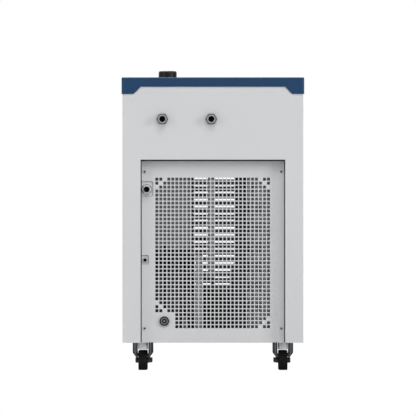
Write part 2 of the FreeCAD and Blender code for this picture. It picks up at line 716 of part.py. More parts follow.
def rear_grille():
    """The perforated panel: square holes on a square grid, with notches for the overflow and the cable."""
    panel = block(-grille_half, grille_half, flange_y, grille_y, grille_bottom, grille_top)
    notch_x = recess_half - PORT_NOTCH_REACH
    notch = block(notch_x, recess_half, flange_y, grille_y, overflow_z - PORT_NOTCH_BELOW,
                  overflow_z + PORT_NOTCH_ABOVE)
    notch = notch.makeFillet(PORT_NOTCH_RADIUS, [edge for edge in notch.Edges
                                                 if abs(edge.BoundBox.XMax - notch_x) < NEAR
                                                 and edge.BoundBox.YLength > SHEET / 2])
    cuts = [notch]
    cuts.append(block(recess_half - GLAND_NOTCH_REACH, recess_half, flange_y, grille_y,
                      gland_z - GLAND_NOTCH_HEIGHT / 2, gland_z + GLAND_NOTCH_HEIGHT / 2))
    cuts.append(rod(V(drain_x, flange_y, drain_z), Y_AXIS, DRAIN_BODY_RADIUS, SHEET))
    for place in screw_places():
        cuts.append(rod(V(place[0], flange_y, place[1]), Y_AXIS, SCREW_RADIUS + SCREW_CLEARANCE, SHEET))
    field_width = 2 * (recess_half - HOLE_FIELD_SIDE_MARGIN)
    field_height = grille_top - HOLE_FIELD_TOP_MARGIN - grille_bottom - HOLE_FIELD_BOTTOM_MARGIN
    columns = int((field_width + HOLE_PITCH - HOLE_SIZE) // HOLE_PITCH)
    rows = int((field_height + HOLE_PITCH - HOLE_SIZE) // HOLE_PITCH)
    first_x = HOLE_FIELD_SHIFT + ((columns - 1) * HOLE_PITCH + HOLE_SIZE) / 2
    first_z = grille_top - HOLE_FIELD_TOP_MARGIN
    for row in range(rows):
        for column in range(columns):
            if not is_blank(row, column, rows, columns):
                x1 = first_x - column * HOLE_PITCH
                z1 = first_z - row * HOLE_PITCH
                cuts.append(block(x1 - HOLE_SIZE, x1, flange_y, grille_y, z1 - HOLE_SIZE, z1))
    return panel.cut(cuts)


def grille_screws():
    """Four cheese-head screws with a hexagonal socket, as one group."""
    screws = []
    for x, z in screw_places():
        shank = rod(V(x, grille_y - SCREW_LENGTH, z), Y_AXIS, SCREW_RADIUS, SCREW_LENGTH)
        head = rod(V(x, grille_y, z), Y_AXIS, SCREW_HEAD_RADIUS, SCREW_HEAD_HEIGHT)
        socket_y = grille_y + SCREW_HEAD_HEIGHT - DRIVER_SOCKET_DEPTH
        socket = hexagon(V(x, socket_y, z), Y_AXIS, 2 * DRIVER_SOCKET_RADIUS, DRIVER_SOCKET_DEPTH)
        screws.append(joined(shank, head).cut(socket))
    return Part.makeCompound(screws)


def top_cover():
    """The lid: a shallow tray upside down, whose skirt drops lower at the corners."""
    reach = LID_GAP + LID_SHEET
    low = lid_top - LID_SKIRT - LID_CORNER_DROP
    outer = block(-half_width - reach, half_width + reach, front_y - reach, rear_y + reach, low, lid_top)
    outer = outer.makeFillet(LID_CORNER_RADIUS, vertical_edges(outer))
    outer = outer.makeFillet(LID_EDGE_RADIUS, edges_at(outer, z=lid_top))
    inner = block(-half_width - LID_GAP, half_width + LID_GAP, front_y - LID_GAP, rear_y + LID_GAP,
                  low, case_top)
    inner = inner.makeFillet(LID_CORNER_RADIUS - LID_SHEET, vertical_edges(inner))
    cover = outer.cut(inner)
    tab_top = low + LID_CORNER_DROP
    far = CASE_WIDTH + CASE_DEPTH
    across = half_width + reach - LID_CORNER_TAB
    along_rear = rear_y + reach - LID_CORNER_TAB
    along_front = front_y - reach + LID_CORNER_TAB
    gap_x = polygon([V(-across, -far, low), V(-across + LID_CORNER_DROP, -far, tab_top),
                     V(across - LID_CORNER_DROP, -far, tab_top), V(across, -far, low)])
    gap_y = polygon([V(-far, along_front, low), V(-far, along_front + LID_CORNER_DROP, tab_top),
                     V(-far, along_rear - LID_CORNER_DROP, tab_top), V(-far, along_rear, low)])
    neck_hole = rod(V(neck_x, neck_y, case_top), Z_AXIS, NECK_RADIUS + NECK_HOLE_CLEARANCE, LID_SHEET)
    return cover.cut([gap_x.extrude(V(0, 2 * far, 0)), gap_y.extrude(V(2 * far, 0, 0)), neck_hole])


def water_port(x, y, z, reach, radius, bore, nut_thickness, collar_radius, stub_length):
    """A threaded tube through the sheet, with a collar behind it and a stub for the hose.

    A relief groove in front of the nut parts the thread for the nut from the thread for the connector.
    """
    outside = rod(V(x, y - SHEET, z), Y_AXIS, radius, SHEET + reach)
    relief = rod(V(x, y + nut_thickness, z), Y_AXIS, radius, THREAD_RELIEF_LENGTH)
    relief = relief.cut(rod(V(x, y + nut_thickness, z), Y_AXIS, radius - THREAD_RELIEF_DEPTH,
                            THREAD_RELIEF_LENGTH))
    collar_y = y - SHEET - PORT_COLLAR_THICKNESS
    collar = rod(V(x, collar_y, z), Y_AXIS, collar_radius, PORT_COLLAR_THICKNESS)
    hose_radius = HOSE_RADIUS if radius > HOSE_RADIUS else SMALL_HOSE_RADIUS
    stub = rod(V(x, collar_y - stub_length, z), Y_AXIS, hose_radius, stub_length)
    body = joined(outside.cut(relief), collar, stub)
    depth = reach + SHEET + PORT_COLLAR_THICKNESS
    return body.cut(rod(V(x, collar_y, z), Y_AXIS, bore, depth))


def supply_port():
    """The port where the cooled water leaves."""
    return water_port(SUPPLY_PORT_X, rear_y, port_z, PORT_REACH, PORT_RADIUS, PORT_BORE_RADIUS,
                      PORT_NUT_THICKNESS, PORT_COLLAR_RADIUS, PORT_STUB_LENGTH)


def return_port():
    """The port where the warm water comes back."""
    return water_port(RETURN_PORT_X, rear_y, port_z, PORT_REACH, PORT_RADIUS, PORT_BORE_RADIUS,
                      PORT_NUT_THICKNESS, PORT_COLLAR_RADIUS, PORT_STUB_LENGTH)


def overflow_port():
    """The smaller port in the notch of the perforated panel."""
    return water_port(overflow_x, flange_y, overflow_z, OVERFLOW_REACH, OVERFLOW_RADIUS,
                      OVERFLOW_BORE_RADIUS, OVERFLOW_NUT_THICKNESS, OVERFLOW_COLLAR_RADIUS,
                      OVERFLOW_STUB_LENGTH)


def port_nuts():
    """The three hexagonal nuts that clamp the ports to the sheet, as one group."""
    nuts = []
    for x, y, z, flats, thickness, radius in (
            (SUPPLY_PORT_X, rear_y, port_z, PORT_NUT_FLATS, PORT_NUT_THICKNESS, PORT_RADIUS),
            (RETURN_PORT_X, rear_y, port_z, PORT_NUT_FLATS, PORT_NUT_THICKNESS, PORT_RADIUS),
            (overflow_x, flange_y, overflow_z, OVERFLOW_NUT_FLATS, OVERFLOW_NUT_THICKNESS, OVERFLOW_RADIUS)):
        nut = hexagon(V(x, y, z), Y_AXIS, flats, thickness)
        rounding = rod(V(x, y, z), Y_AXIS, flats / math.sqrt(3) * PORT_NUT_ROUNDING, thickness)
        bore = rod(V(x, y, z), Y_AXIS, radius + THREAD_CLEARANCE, thickness)
        nuts.append(nut.common(rounding).cut(bore))
    return Part.makeCompound(nuts)


def cable_gland():
    """The open inlet for the mains lead, clamped in the recess flange."""
    outside = rod(V(gland_x, flange_y, gland_z), Y_AXIS, GLAND_COLLAR_RADIUS, GLAND_COLLAR_THICKNESS)
    body = rod(V(gland_x, inside_rear_y - GLAND_REACH, gland_z), Y_AXIS, GLAND_RADIUS, GLAND_REACH + SHEET)
    lock = hexagon(V(gland_x, inside_rear_y - GLAND_COLLAR_THICKNESS, gland_z), Y_AXIS,
                   2 * GLAND_COLLAR_RADIUS, GLAND_COLLAR_THICKNESS)
    gland = joined(outside, body, lock)
    through = GLAND_REACH + SHEET + GLAND_COLLAR_THICKNESS
    start = V(gland_x, inside_rear_y - GLAND_REACH, gland_z)
    return gland.cut(rod(start, Y_AXIS, GLAND_BORE_RADIUS, through))


def drain_fitting():
    """The drain socket: a ribbed rim on the panel and a blind socket with a hose stub behind."""
    rim = rod(V(drain_x, grille_y, drain_z), Y_AXIS, DRAIN_RADIUS, DRAIN_RIM_REACH)
    body = rod(V(drain_x, grille_y - DRAIN_BODY_LENGTH, drain_z), Y_AXIS, DRAIN_BODY_RADIUS,
               DRAIN_BODY_LENGTH)
    stub = rod(V(drain_x, overflow_inner_y, drain_z), Y_AXIS, SMALL_HOSE_RADIUS,
               grille_y - overflow_inner_y)
    grips = []
    for number in range(DRAIN_GRIP_COUNT):
        angle = 2 * math.pi * number / DRAIN_GRIP_COUNT
        x = drain_x + DRAIN_RADIUS * math.cos(angle)
        z = drain_z + DRAIN_RADIUS * math.sin(angle)
        grips.append(rod(V(x, grille_y, z), Y_AXIS, DRAIN_GRIP_RADIUS, DRAIN_RIM_REACH))
    socket_y = grille_y - DRAIN_BODY_LENGTH + DRAIN_WALL
    socket = rod(V(drain_x, socket_y, drain_z), Y_AXIS, DRAIN_SOCKET_RADIUS,
                 DRAIN_BODY_LENGTH + DRAIN_RIM_REACH)
    return joined(rim.cut(grips), body, stub).cut(socket)


def drain_plug():
    """The plug in the drain socket, with a round key socket and a boss in its middle."""
    face_y = grille_y + DRAIN_RIM_REACH + DRAIN_PLUG_PROUD
    plug = rod(V(drain_x, face_y - DRAIN_PLUG_LENGTH, drain_z), Y_AXIS,
               DRAIN_SOCKET_RADIUS - DRAIN_PLUG_CLEARANCE, DRAIN_PLUG_LENGTH)
    socket_y = face_y - DRAIN_PLUG_SOCKET_DEPTH
    socket = hexagon(V(drain_x, socket_y, drain_z), Y_AXIS, 2 * DRAIN_PLUG_SOCKET_RADIUS,
                     DRAIN_PLUG_SOCKET_DEPTH)
    boss = rod(V(drain_x, socket_y, drain_z), Y_AXIS, DRAIN_PLUG_BOSS_RADIUS, DRAIN_PLUG_SOCKET_DEPTH)
    return plug.cut(socket.cut(boss))


def caster_places():
    """X, Y and the side that faces the machine's middle, for each caster."""
    x = half_width - CASTER_INSET_X
    rear = inside_rear_y - CASTER_INSET_Y
    front = front_inner_y + CASTER_INSET_Y
    return {"rear_right": (x, rear), "rear_left": (-x, rear), "front_right": (x, front),
            "front_left": (-x, front)}


def countersunk(place, grow, length):
    """A countersunk shape from below, grown all over by a clearance when it is used as a hole."""
    head, shank = CASTER_BOLT_HEAD_RADIUS + grow, CASTER_BOLT_RADIUS + grow
    outline = [V(0, 0, 0), V(head, 0, 0), V(shank, 0, CASTER_BOLT_HEAD_DEPTH), V(shank, 0, length),
               V(0, 0, length)]
    shape = polygon(outline).revolve(V(0, 0, 0), Z_AXIS, 360)
    shape.translate(place)
    return shape


def caster_plates():
    """The four fixed top plates with king pin and cup, and each plate's four flush screws, as one group."""
    pieces = []
    for x, y in caster_places().values():
        half = CASTER_PLATE / 2
        plate = block(x - half, x + half, y - half, y + half, plate_bottom, pan_bottom)
        plate = plate.makeFillet(CASTER_PLATE_THICKNESS * 2, vertical_edges(plate))
        pin = rod(V(x, y, cup_top), Z_AXIS, KINGPIN_RADIUS, plate_bottom - cup_top)
        cup = rod(V(x, y, cup_top - KINGPIN_CUP_HEIGHT), Z_AXIS, KINGPIN_CUP_RADIUS, KINGPIN_CUP_HEIGHT)
        cup = cup.makeChamfer(CASTER_PLATE_THICKNESS, edges_at(cup, z=cup_top - KINGPIN_CUP_HEIGHT))
        holes = []
        for dx in (-1, 1):
            for dy in (-1, 1):
                place = V(x + dx * CASTER_BOLT_SPACING / 2, y + dy * CASTER_BOLT_SPACING / 2, plate_bottom)
                holes.append(countersunk(place, CASTER_BOLT_CLEARANCE, CASTER_PLATE_THICKNESS))
                pieces.append(countersunk(place, 0, CASTER_PLATE_THICKNESS + PAN_SHEET))
        pieces.append(joined(plate, pin, cup).cut(holes))
    return Part.makeCompound(pieces)


def caster_fork(x, y):
    """A pressed fork: a flat top and two legs that draw in towards the axle, which trails behind the pin."""
    eye = V(0, -CASTER_TRAIL, WHEEL_RADIUS)
    knee_high = WHEEL_RADIUS + FORK_PINCH_HIGH
    knee_low = WHEEL_RADIUS + FORK_PINCH_LOW
    foot = WHEEL_RADIUS - FORK_EYE_RADIUS
    outer = FORK_HALF_WIDTH
    drawn = FORK_HALF_WIDTH - FORK_PINCH
    slope_shift = FORK_SHEET * FORK_PINCH / (knee_high - knee_low) / 2
    far = 2 * FORK_HALF_LENGTH + CASTER_TRAIL
    legs = []
    for side in (-1, 1):
        strip = polygon([
            V(side * outer, -far, fork_top), V(side * outer, -far, knee_high),
            V(side * drawn, -far, knee_low), V(side * drawn, -far, foot),
            V(side * (drawn - FORK_SHEET), -far, foot),
            V(side * (drawn - FORK_SHEET), -far, knee_low + slope_shift),
            V(side * (outer - FORK_SHEET), -far, knee_high + slope_shift),
            V(side * (outer - FORK_SHEET), -far, fork_top)])
        legs.append(strip.extrude(V(0, 2 * far, 0)))
    lap = FORK_HALF_WIDTH + FORK_SHEET
    outline = polygon([
        V(-lap, FORK_HALF_LENGTH, fork_top), V(-lap, -FORK_HALF_LENGTH, fork_top),
        V(-lap, eye.y - FORK_EYE_RADIUS, knee_high), V(-lap, eye.y - FORK_EYE_RADIUS, eye.z),
        V(-lap, eye.y + FORK_EYE_RADIUS, eye.z), V(-lap, eye.y + 2 * FORK_EYE_RADIUS, knee_low)])
    profile = joined(outline.extrude(V(2 * lap, 0, 0)),
                     rod(V(-lap, eye.y, eye.z), X_AXIS, FORK_EYE_RADIUS, 2 * lap))
    top = block(-FORK_HALF_WIDTH, FORK_HALF_WIDTH, -FORK_HALF_LENGTH, FORK_HALF_LENGTH, fork_under, fork_top)
    fork = joined(top, legs[0].common(profile), legs[1].common(profile))
    fork = fork.makeFillet(FORK_BEND_RADIUS, edges_at(fork, x=outer, z=fork_top)
                           + edges_at(fork, x=-outer, z=fork_top))
    pin_hole = rod(V(0, 0, fork_under), Z_AXIS, KINGPIN_RADIUS + SWIVEL_CLEARANCE, FORK_SHEET)
    axle_hole = rod(V(-lap, eye.y, eye.z), X_AXIS, AXLE_RADIUS, 2 * lap)
    fork = fork.cut([pin_hole, axle_hole])
    fork.translate(V(x, y, 0))
    return fork


def caster_wheel(x, y):
    """A solid wheel turned as one piece: tread with broken edges, dished sides and a long hub."""
    half = WHEEL_WIDTH / 2
    hub_half = FORK_HALF_WIDTH - FORK_PINCH - FORK_SHEET - WHEEL_HUB_GAP
    bore = AXLE_RADIUS + AXLE_CLEARANCE
    right = [V(hub_half, 0, bore), V(hub_half, 0, WHEEL_HUB_RADIUS),
             V(half - WHEEL_DISH_DEPTH, 0, WHEEL_DISH_RADIUS),
             V(half, 0, WHEEL_DISH_RADIUS + WHEEL_DISH_DEPTH),
             V(half, 0, WHEEL_RADIUS - WHEEL_EDGE), V(half - WHEEL_EDGE, 0, WHEEL_RADIUS)]
    left = [V(-point.x, 0, point.z) for point in reversed(right)]
    wheel = polygon(right + left).revolve(V(0, 0, 0), X_AXIS, 360)
    wheel.translate(V(x, y - CASTER_TRAIL, WHEEL_RADIUS))
    return wheel


def caster_axle(x, y):
    """The axle bolt, its round head outside and its nut towards the machine's middle."""
    outer = FORK_HALF_WIDTH - FORK_PINCH
    away = math.copysign(1.0, x)
    start = V(x - away * (outer + AXLE_NUT_THICKNESS), y - CASTER_TRAIL, WHEEL_RADIUS)
    out = X_AXIS * away
    bolt = rod(start, out, AXLE_RADIUS, 2 * outer + AXLE_NUT_THICKNESS)
    head_start = V(x + away * outer, y - CASTER_TRAIL, WHEEL_RADIUS)
    head = rod(head_start, out, AXLE_HEAD_RADIUS, AXLE_HEAD_THICKNESS)
    nut = hexagon(start, out, AXLE_NUT_FLATS, AXLE_NUT_THICKNESS)
    return joined(bolt, head, nut)


def tank_stand():
    """A shelf on four angle legs that lifts the tank over the compressor."""
    shelf = block(stand_x0, stand_x1, stand_y0, stand_y1, shelf_z - STAND_SHEET, shelf_z)
    parts = []
    for x, inward_x in ((stand_x0, 1), (stand_x1, -1)):
        for y, inward_y in ((stand_y0, 1), (stand_y1, -1)):
            across = sorted((x, x + inward_x * STAND_LEG))
            thin_x = sorted((x, x + inward_x * STAND_SHEET))
            along = sorted((y, y + inward_y * STAND_LEG))
            thin_y = sorted((y, y + inward_y * STAND_SHEET))
            parts.append(block(thin_x[0], thin_x[1], along[0], along[1], pan_floor, shelf_z))
            parts.append(block(across[0], across[1], thin_y[0], thin_y[1], pan_floor, shelf_z))
            parts.append(block(across[0], across[1], along[0], along[1], pan_floor, pan_floor + STAND_SHEET))
    return joined(shelf, *parts)


def hollow_stub(start, axis, radius, length, depth):
    """An outward stub and the bore that runs through it into the tank."""
    bore = rod(start - axis * depth, axis, radius - STUB_WALL, length + depth)
    return rod(start, axis, radius, length), bore


def water_tank():
    """The welded steel tank with stubs for the pump, the drain and the overflow."""
    outer = block(tank_x0, tank_x1, tank_y0, tank_y1, shelf_z, tank_top)
    outer = outer.makeFillet(TANK_RADIUS, vertical_edges(outer))
    inner = block(tank_x0 + TANK_WALL, tank_x1 - TANK_WALL, tank_y0 + TANK_WALL, tank_y1 - TANK_WALL,
                  shelf_z + TANK_WALL, tank_top - TANK_WALL)
    inner = inner.makeFillet(TANK_RADIUS - TANK_WALL, vertical_edges(inner))
    tank = outer.cut(inner)
    stubs = []
    bores = [rod(V(neck_x, neck_y, tank_top - TANK_WALL), Z_AXIS, NECK_BORE_RADIUS, TANK_WALL)]
    for start, axis, radius in ((V(pump_x, tank_y0, outlet_stub_z), -Y_AXIS, HOSE_RADIUS),
                                (V(drain_x, tank_y1, drain_stub_z), Y_AXIS, SMALL_HOSE_RADIUS),
                                (V(overflow_x, tank_y1, overflow_stub_z), Y_AXIS, SMALL_HOSE_RADIUS)):
        stub, bore = hollow_stub(start, axis, radius, TANK_STUB_LENGTH, TANK_WALL)
        stubs.append(stub)
        bores.append(bore)
    bores.append(rod(V(water_stub_x, tank_y0, plate_low_z), Y_AXIS, HOSE_RADIUS - STUB_WALL, TANK_WALL))
    return joined(tank, *stubs).cut(bores)


def filler_neck():
    """The filling tube, flanged onto the tank and threaded where it comes through the lid."""
    length = neck_top - tank_top
    pipe = rod(V(neck_x, neck_y, tank_top), Z_AXIS, NECK_RADIUS, length)
    flange = rod(V(neck_x, neck_y, tank_top), Z_AXIS, NECK_FLANGE_RADIUS, NECK_FLANGE_THICKNESS)
    return joined(pipe, flange).cut(rod(V(neck_x, neck_y, tank_top), Z_AXIS, NECK_BORE_RADIUS, length))


def filler_cap():
    """The round black cap with a ribbed rim, hollow underneath over the neck."""
    cap = rod(V(neck_x, neck_y, cap_bottom), Z_AXIS, CAP_RADIUS, CAP_HEIGHT)
    cap = cap.makeChamfer(CAP_EDGE_BEVEL, edges_at(cap, z=cap_top))
    grooves = []
    for number in range(CAP_RIB_COUNT):
        angle = 2 * math.pi * number / CAP_RIB_COUNT
        reach = CAP_RADIUS + CAP_RIB_RADIUS / 2
        place = V(neck_x + reach * math.cos(angle), neck_y + reach * math.sin(angle), cap_bottom)
        grooves.append(rod(place, Z_AXIS, CAP_RIB_RADIUS, CAP_HEIGHT - CAP_PLAIN_RIM))
    bore_top = seal_z + CAP_SEAL_THICKNESS
    bore = rod(V(neck_x, neck_y, cap_bottom), Z_AXIS, NECK_RADIUS + CAP_CLEARANCE, bore_top - cap_bottom)
    return cap.cut(grooves + [bore])


def cap_seal():
    """The flat rubber ring inside the cap, on the rim of the neck."""
    return tube(V(neck_x, neck_y, seal_z), Z_AXIS, NECK_RADIUS, NECK_BORE_RADIUS, CAP_SEAL_THICKNESS)


def heat_exchanger():
    """The brazed plate block: rounded plates in a stack, with stubs for water and refrigerant."""
    x0 = plate_x - PLATE_BLOCK_WIDTH / 2
    x1 = plate_x + PLATE_BLOCK_WIDTH / 2
    z1 = shelf_z + PLATE_BLOCK_HEIGHT
    body = block(x0, x1, plate_y0, plate_y1, shelf_z, z1)
    body = body.makeFillet(PLATE_BLOCK_RADIUS, [edge for edge in body.Edges
                                                if edge.BoundBox.YLength > PLATE_BLOCK_DEPTH / 2])
    pitch = PLATE_BLOCK_DEPTH / (PLATE_GROOVE_COUNT + 1)
    inset = PLATE_GROOVE_DEPTH
    core = block(x0 + inset, x1 - inset, plate_y0, plate_y1, shelf_z + inset, z1 - inset)
    core = core.makeFillet(PLATE_BLOCK_RADIUS - inset, [edge for edge in core.Edges
                                                        if edge.BoundBox.YLength > PLATE_BLOCK_DEPTH / 2])
    frame = body.cut(core)
    for number in range(PLATE_GROOVE_COUNT):
        y = plate_y0 + (number + 1) * pitch
        slab = block(x0, x1, y - inset / 2, y + inset / 2, shelf_z, z1)
        body = body.cut(frame.common(slab))
    stubs = []
    for x, radius in ((water_stub_x, HOSE_RADIUS), (gas_stub_x, PIPE_SOCKET_RADIUS)):
        for z in (plate_low_z, plate_high_z):
            if (x, z) != (water_stub_x, plate_low_z):
                stubs.append(rod(V(x, plate_stub_y, z), Y_AXIS, radius, PLATE_STUB_LENGTH))
    stubs.append(rod(V(water_stub_x, plate_y1, plate_low_z), Y_AXIS, HOSE_RADIUS, PLATE_TANK_GAP))
    return joined(body, *stubs)


def circulation_pump():
    """An upright centrifugal pump: ribbed motor below, round volute above with its inlet on top."""
    foot = block(pump_x - PUMP_FOOT_WIDTH / 2, pump_x + PUMP_FOOT_WIDTH / 2, pump_y - PUMP_FOOT_DEPTH / 2,
                 pump_y + PUMP_FOOT_DEPTH / 2, pan_floor, pan_floor + PUMP_FOOT_THICKNESS)
    pillar = rod(V(pump_x, pump_y, pan_floor), Z_AXIS, PUMP_MOTOR_RADIUS / 2, PUMP_FOOT_RISE)
    motor = rod(V(pump_x, pump_y, pump_motor_z), Z_AXIS, PUMP_MOTOR_RADIUS, pump_volute_z - pump_motor_z)
    rib_reach = PUMP_MOTOR_RADIUS + PUMP_RIB_REACH
    ribs = []
    rib_low = pump_motor_z + PUMP_RIB_INSET
    for number in range(PUMP_RIB_COUNT):
        rib = block(-PUMP_RIB_WIDTH / 2, PUMP_RIB_WIDTH / 2, 0, rib_reach, rib_low, pump_volute_z)
        rib.rotate(V(0, 0, 0), Z_AXIS, 360 * number / PUMP_RIB_COUNT)
        rib.translate(V(pump_x, pump_y, 0))
        ribs.append(rib)
    volute = rod(V(pump_x, pump_y, pump_volute_z), Z_AXIS, PUMP_VOLUTE_RADIUS, PUMP_VOLUTE_HEIGHT)
    volute = volute.makeChamfer(PUMP_VOLUTE_BEVEL, edges_at(volute, z=pump_top))
    inlet = rod(V(pump_x, pump_y, pump_top), Z_AXIS, HOSE_RADIUS, PUMP_INLET_RISE)
    outlet = rod(V(pump_outlet_x, pump_outlet_y, pump_outlet_z), X_AXIS, HOSE_RADIUS, PUMP_OUTLET_REACH)
    return joined(foot, pillar, motor, volute, inlet, outlet, *ribs)


def compressor():
    """The hermetic can: two drawn domes welded at a seam, with feet, pipe stubs and a terminal cover."""
    r = SHELL_RADIUS
    rim = []
    for step in range(SHELL_DOME_STEPS + 1):
        angle = math.pi / 2 * step / SHELL_DOME_STEPS
        rim.append((r - SHELL_DOME * (1 - math.sin(angle)), SHELL_DOME * (1 - math.cos(angle))))
    profile = [V(0, 0, 0)] + [V(across, 0, up) for across, up in rim]
    profile += [V(across, 0, SHELL_HEIGHT - up) for across, up in reversed(rim)] + [V(0, 0, SHELL_HEIGHT)]
    can = polygon(profile).revolve(V(0, 0, 0), Z_AXIS, 360)
    can.translate(V(shell_x, shell_y, shell_z))
    seam = rod(V(shell_x, shell_y, shell_z + SHELL_SEAM_HEIGHT), Z_AXIS, r + SHELL_SEAM_RADIUS,
               2 * SHELL_SEAM_RADIUS)
    spread = SHELL_FOOT_SPREAD
    feet = []
    for angle in DIAGONALS:
        bar = block(-spread * math.sqrt(2) - MOUNT_RADIUS, spread * math.sqrt(2) + MOUNT_RADIUS,
                    -MOUNT_RADIUS, MOUNT_RADIUS, 0, SHELL_FOOT_THICKNESS)
        bar.rotate(V(0, 0, 0), Z_AXIS, angle)
        bar.translate(V(shell_x, shell_y, shell_z))
        feet.append(bar)
    stubs = []
    for side, direction, height in ((1, -1, SHELL_SUCTION_HEIGHT), (-1, 1, SHELL_DISCHARGE_HEIGHT)):
        start = V(shell_x + side * SHELL_STUB_OFFSET, shell_y, shell_z + height)
        stubs.append(rod(start, Y_AXIS * direction, SHELL_STUB_RADIUS, SHELL_STUB_REACH))
    cover = block(shell_x - r - TERMINAL_REACH, shell_x - r + TERMINAL_REACH * 2,
                  shell_y - TERMINAL_WIDTH / 2, shell_y + TERMINAL_WIDTH / 2,
                  shell_z + SHELL_SEAM_HEIGHT - TERMINAL_HEIGHT - TERMINAL_DROP,
                  shell_z + SHELL_SEAM_HEIGHT - TERMINAL_DROP)
    holes = [rod(V(x, y, shell_z), Z_AXIS, MOUNT_BOLT_RADIUS, SHELL_FOOT_THICKNESS)
             for x, y in mount_places()]
    return joined(can, seam, cover, *(feet + stubs)).cut(holes)


def mount_places():
    """X and Y of the compressor's four rubber mounts."""
    return [(shell_x + dx * SHELL_FOOT_SPREAD, shell_y + dy * SHELL_FOOT_SPREAD)
            for dx in (-1, 1) for dy in (-1, 1)]


def compressor_mounts():
    """Four waisted rubber buffers, each with its stud and nut through the foot, as one group."""
    mounts = []
    for x, y in mount_places():
        outline = [V(0, 0, 0), V(MOUNT_RADIUS, 0, 0), V(MOUNT_WAIST, 0, MOUNT_HEIGHT / 2),
                   V(MOUNT_RADIUS, 0, MOUNT_HEIGHT), V(0, 0, MOUNT_HEIGHT)]
        base = polygon(outline).revolve(V(0, 0, 0), Z_AXIS, 360)
        base.translate(V(x, y, pan_floor))
        stud = rod(V(x, y, shell_z), Z_AXIS, MOUNT_BOLT_RADIUS, SHELL_FOOT_THICKNESS)
        nut = rod(V(x, y, shell_z + SHELL_FOOT_THICKNESS), Z_AXIS, 2 * MOUNT_BOLT_RADIUS, MOUNT_BOLT_RADIUS)
        mounts.append(joined(base, stud, nut))
    return Part.makeCompound(mounts)


def condenser():
    """The finned block between two end plates, with return bends and stubs at its ends."""
    sink = CONDENSER_FIN_SINK
    core_y0 = condenser_y0 + CONDENSER_PLATE
    core_y1 = condenser_y1 - CONDENSER_PLATE
    core = block(condenser_x0 + sink / 2, condenser_x1 - sink / 2, core_y0, core_y1, pan_floor + sink,
                 condenser_top - sink)
    pitch = (core_y1 - core_y0) / CONDENSER_FIN_COUNT
    slots = []
    for number in range(CONDENSER_FIN_COUNT):
        y = core_y0 + (number + 0.5) * pitch
        for x0 in (condenser_x0 + sink / 2, condenser_x1 - sink / 2 - CONDENSER_FIN_DEPTH):
            slots.append(block(x0, x0 + CONDENSER_FIN_DEPTH, y - CONDENSER_FIN_SLOT / 2,
                               y + CONDENSER_FIN_SLOT / 2, pan_floor + sink, condenser_top - sink))
    core = core.cut(slots)
    plates = []
    for y in (condenser_y0, condenser_y1 - CONDENSER_PLATE):
        plates.append(block(condenser_x0, condenser_x1, y, y + CONDENSER_PLATE, pan_floor, condenser_top))
    plates.append(block(condenser_x0, condenser_x1, condenser_y0, condenser_y1,
                        condenser_top - CONDENSER_PLATE, condenser_top))
    plates.append(block(condenser_x0, condenser_x1, condenser_y0, condenser_y1, pan_floor,
                        pan_floor + CONDENSER_PLATE))
    pipes = []
    first = fan_z - (CONDENSER_BEND_COUNT - 1) * CONDENSER_BEND_PITCH
    for number in range(CONDENSER_BEND_COUNT):
        z = first + number * 2 * CONDENSER_BEND_PITCH
        loop = Part.makeTorus(CONDENSER_BEND_PITCH / 2, PIPE_RADIUS, V(condenser_x, condenser_y1, z), X_AXIS)
        half = block(condenser_x0, condenser_x1, condenser_y1, condenser_y1 + CONDENSER_BEND_PITCH,
                     z - CONDENSER_BEND_PITCH, z + CONDENSER_BEND_PITCH)
        pipes.append(loop.common(half))
    inlet = V(condenser_x, condenser_y1, condenser_top - CONDENSER_STUB_INSET)
    outlet = V(condenser_x, condenser_y0, pan_floor + CONDENSER_OUTLET_HEIGHT)
    pipes.append(rod(inlet, Y_AXIS, PIPE_SOCKET_RADIUS, CONDENSER_STUB_LENGTH))
    pipes.append(rod(outlet, -Y_AXIS, PIPE_SOCKET_RADIUS, CONDENSER_STUB_LENGTH))
    return joined(core, *(plates + pipes))


def fan_shroud():
    """The sheet hood on the condenser, with the round mouth that the fan runs in."""
    outer = block(hood_x, condenser_x0, condenser_y0, condenser_y1, pan_floor, condenser_top)
    inner = block(hood_x + SHEET, condenser_x0, condenser_y0 + SHEET, condenser_y1 - SHEET,
                  pan_floor + SHEET, condenser_top - SHEET)
    mouth_radius = FAN_RADIUS + FAN_TIP_GAP
    mouth = rod(V(hood_x, fan_y, fan_z), X_AXIS, mouth_radius, SHEET)
    rim = tube(V(hood_x, fan_y, fan_z), X_AXIS, mouth_radius + SHEET, mouth_radius, HOOD_DEPTH / 2)
    return joined(outer.cut(inner).cut(mouth), rim)


def fan_bracket():
    """Two crossed straps with bent ends that hold the motor over the mouth."""
    reach = (FAN_RADIUS + FAN_TIP_GAP + FAN_BRACKET_WIDTH)
    half = FAN_BRACKET_WIDTH / 2
    sheet = FAN_BRACKET_SHEET
    arms = []
    for angle in DIAGONALS:
        arm = block(bracket_x, bracket_x + sheet, -reach, reach, -half, half)
        arm = joined(arm, block(bracket_x, hood_x, reach - sheet, reach, -half, half),
                     block(bracket_x, hood_x, -reach, sheet - reach, -half, half))
        arm.rotate(V(0, 0, 0), X_AXIS, angle)
        arm.translate(V(0, fan_y, fan_z))
        arms.append(arm)
    plate = rod(V(bracket_x, fan_y, fan_z), X_AXIS, FAN_MOTOR_RADIUS, sheet)
    hole = rod(V(bracket_x, fan_y, fan_z), X_AXIS, 2 * FAN_SHAFT_RADIUS, sheet)
    return joined(arms[0], arms[1], plate).cut(hole)


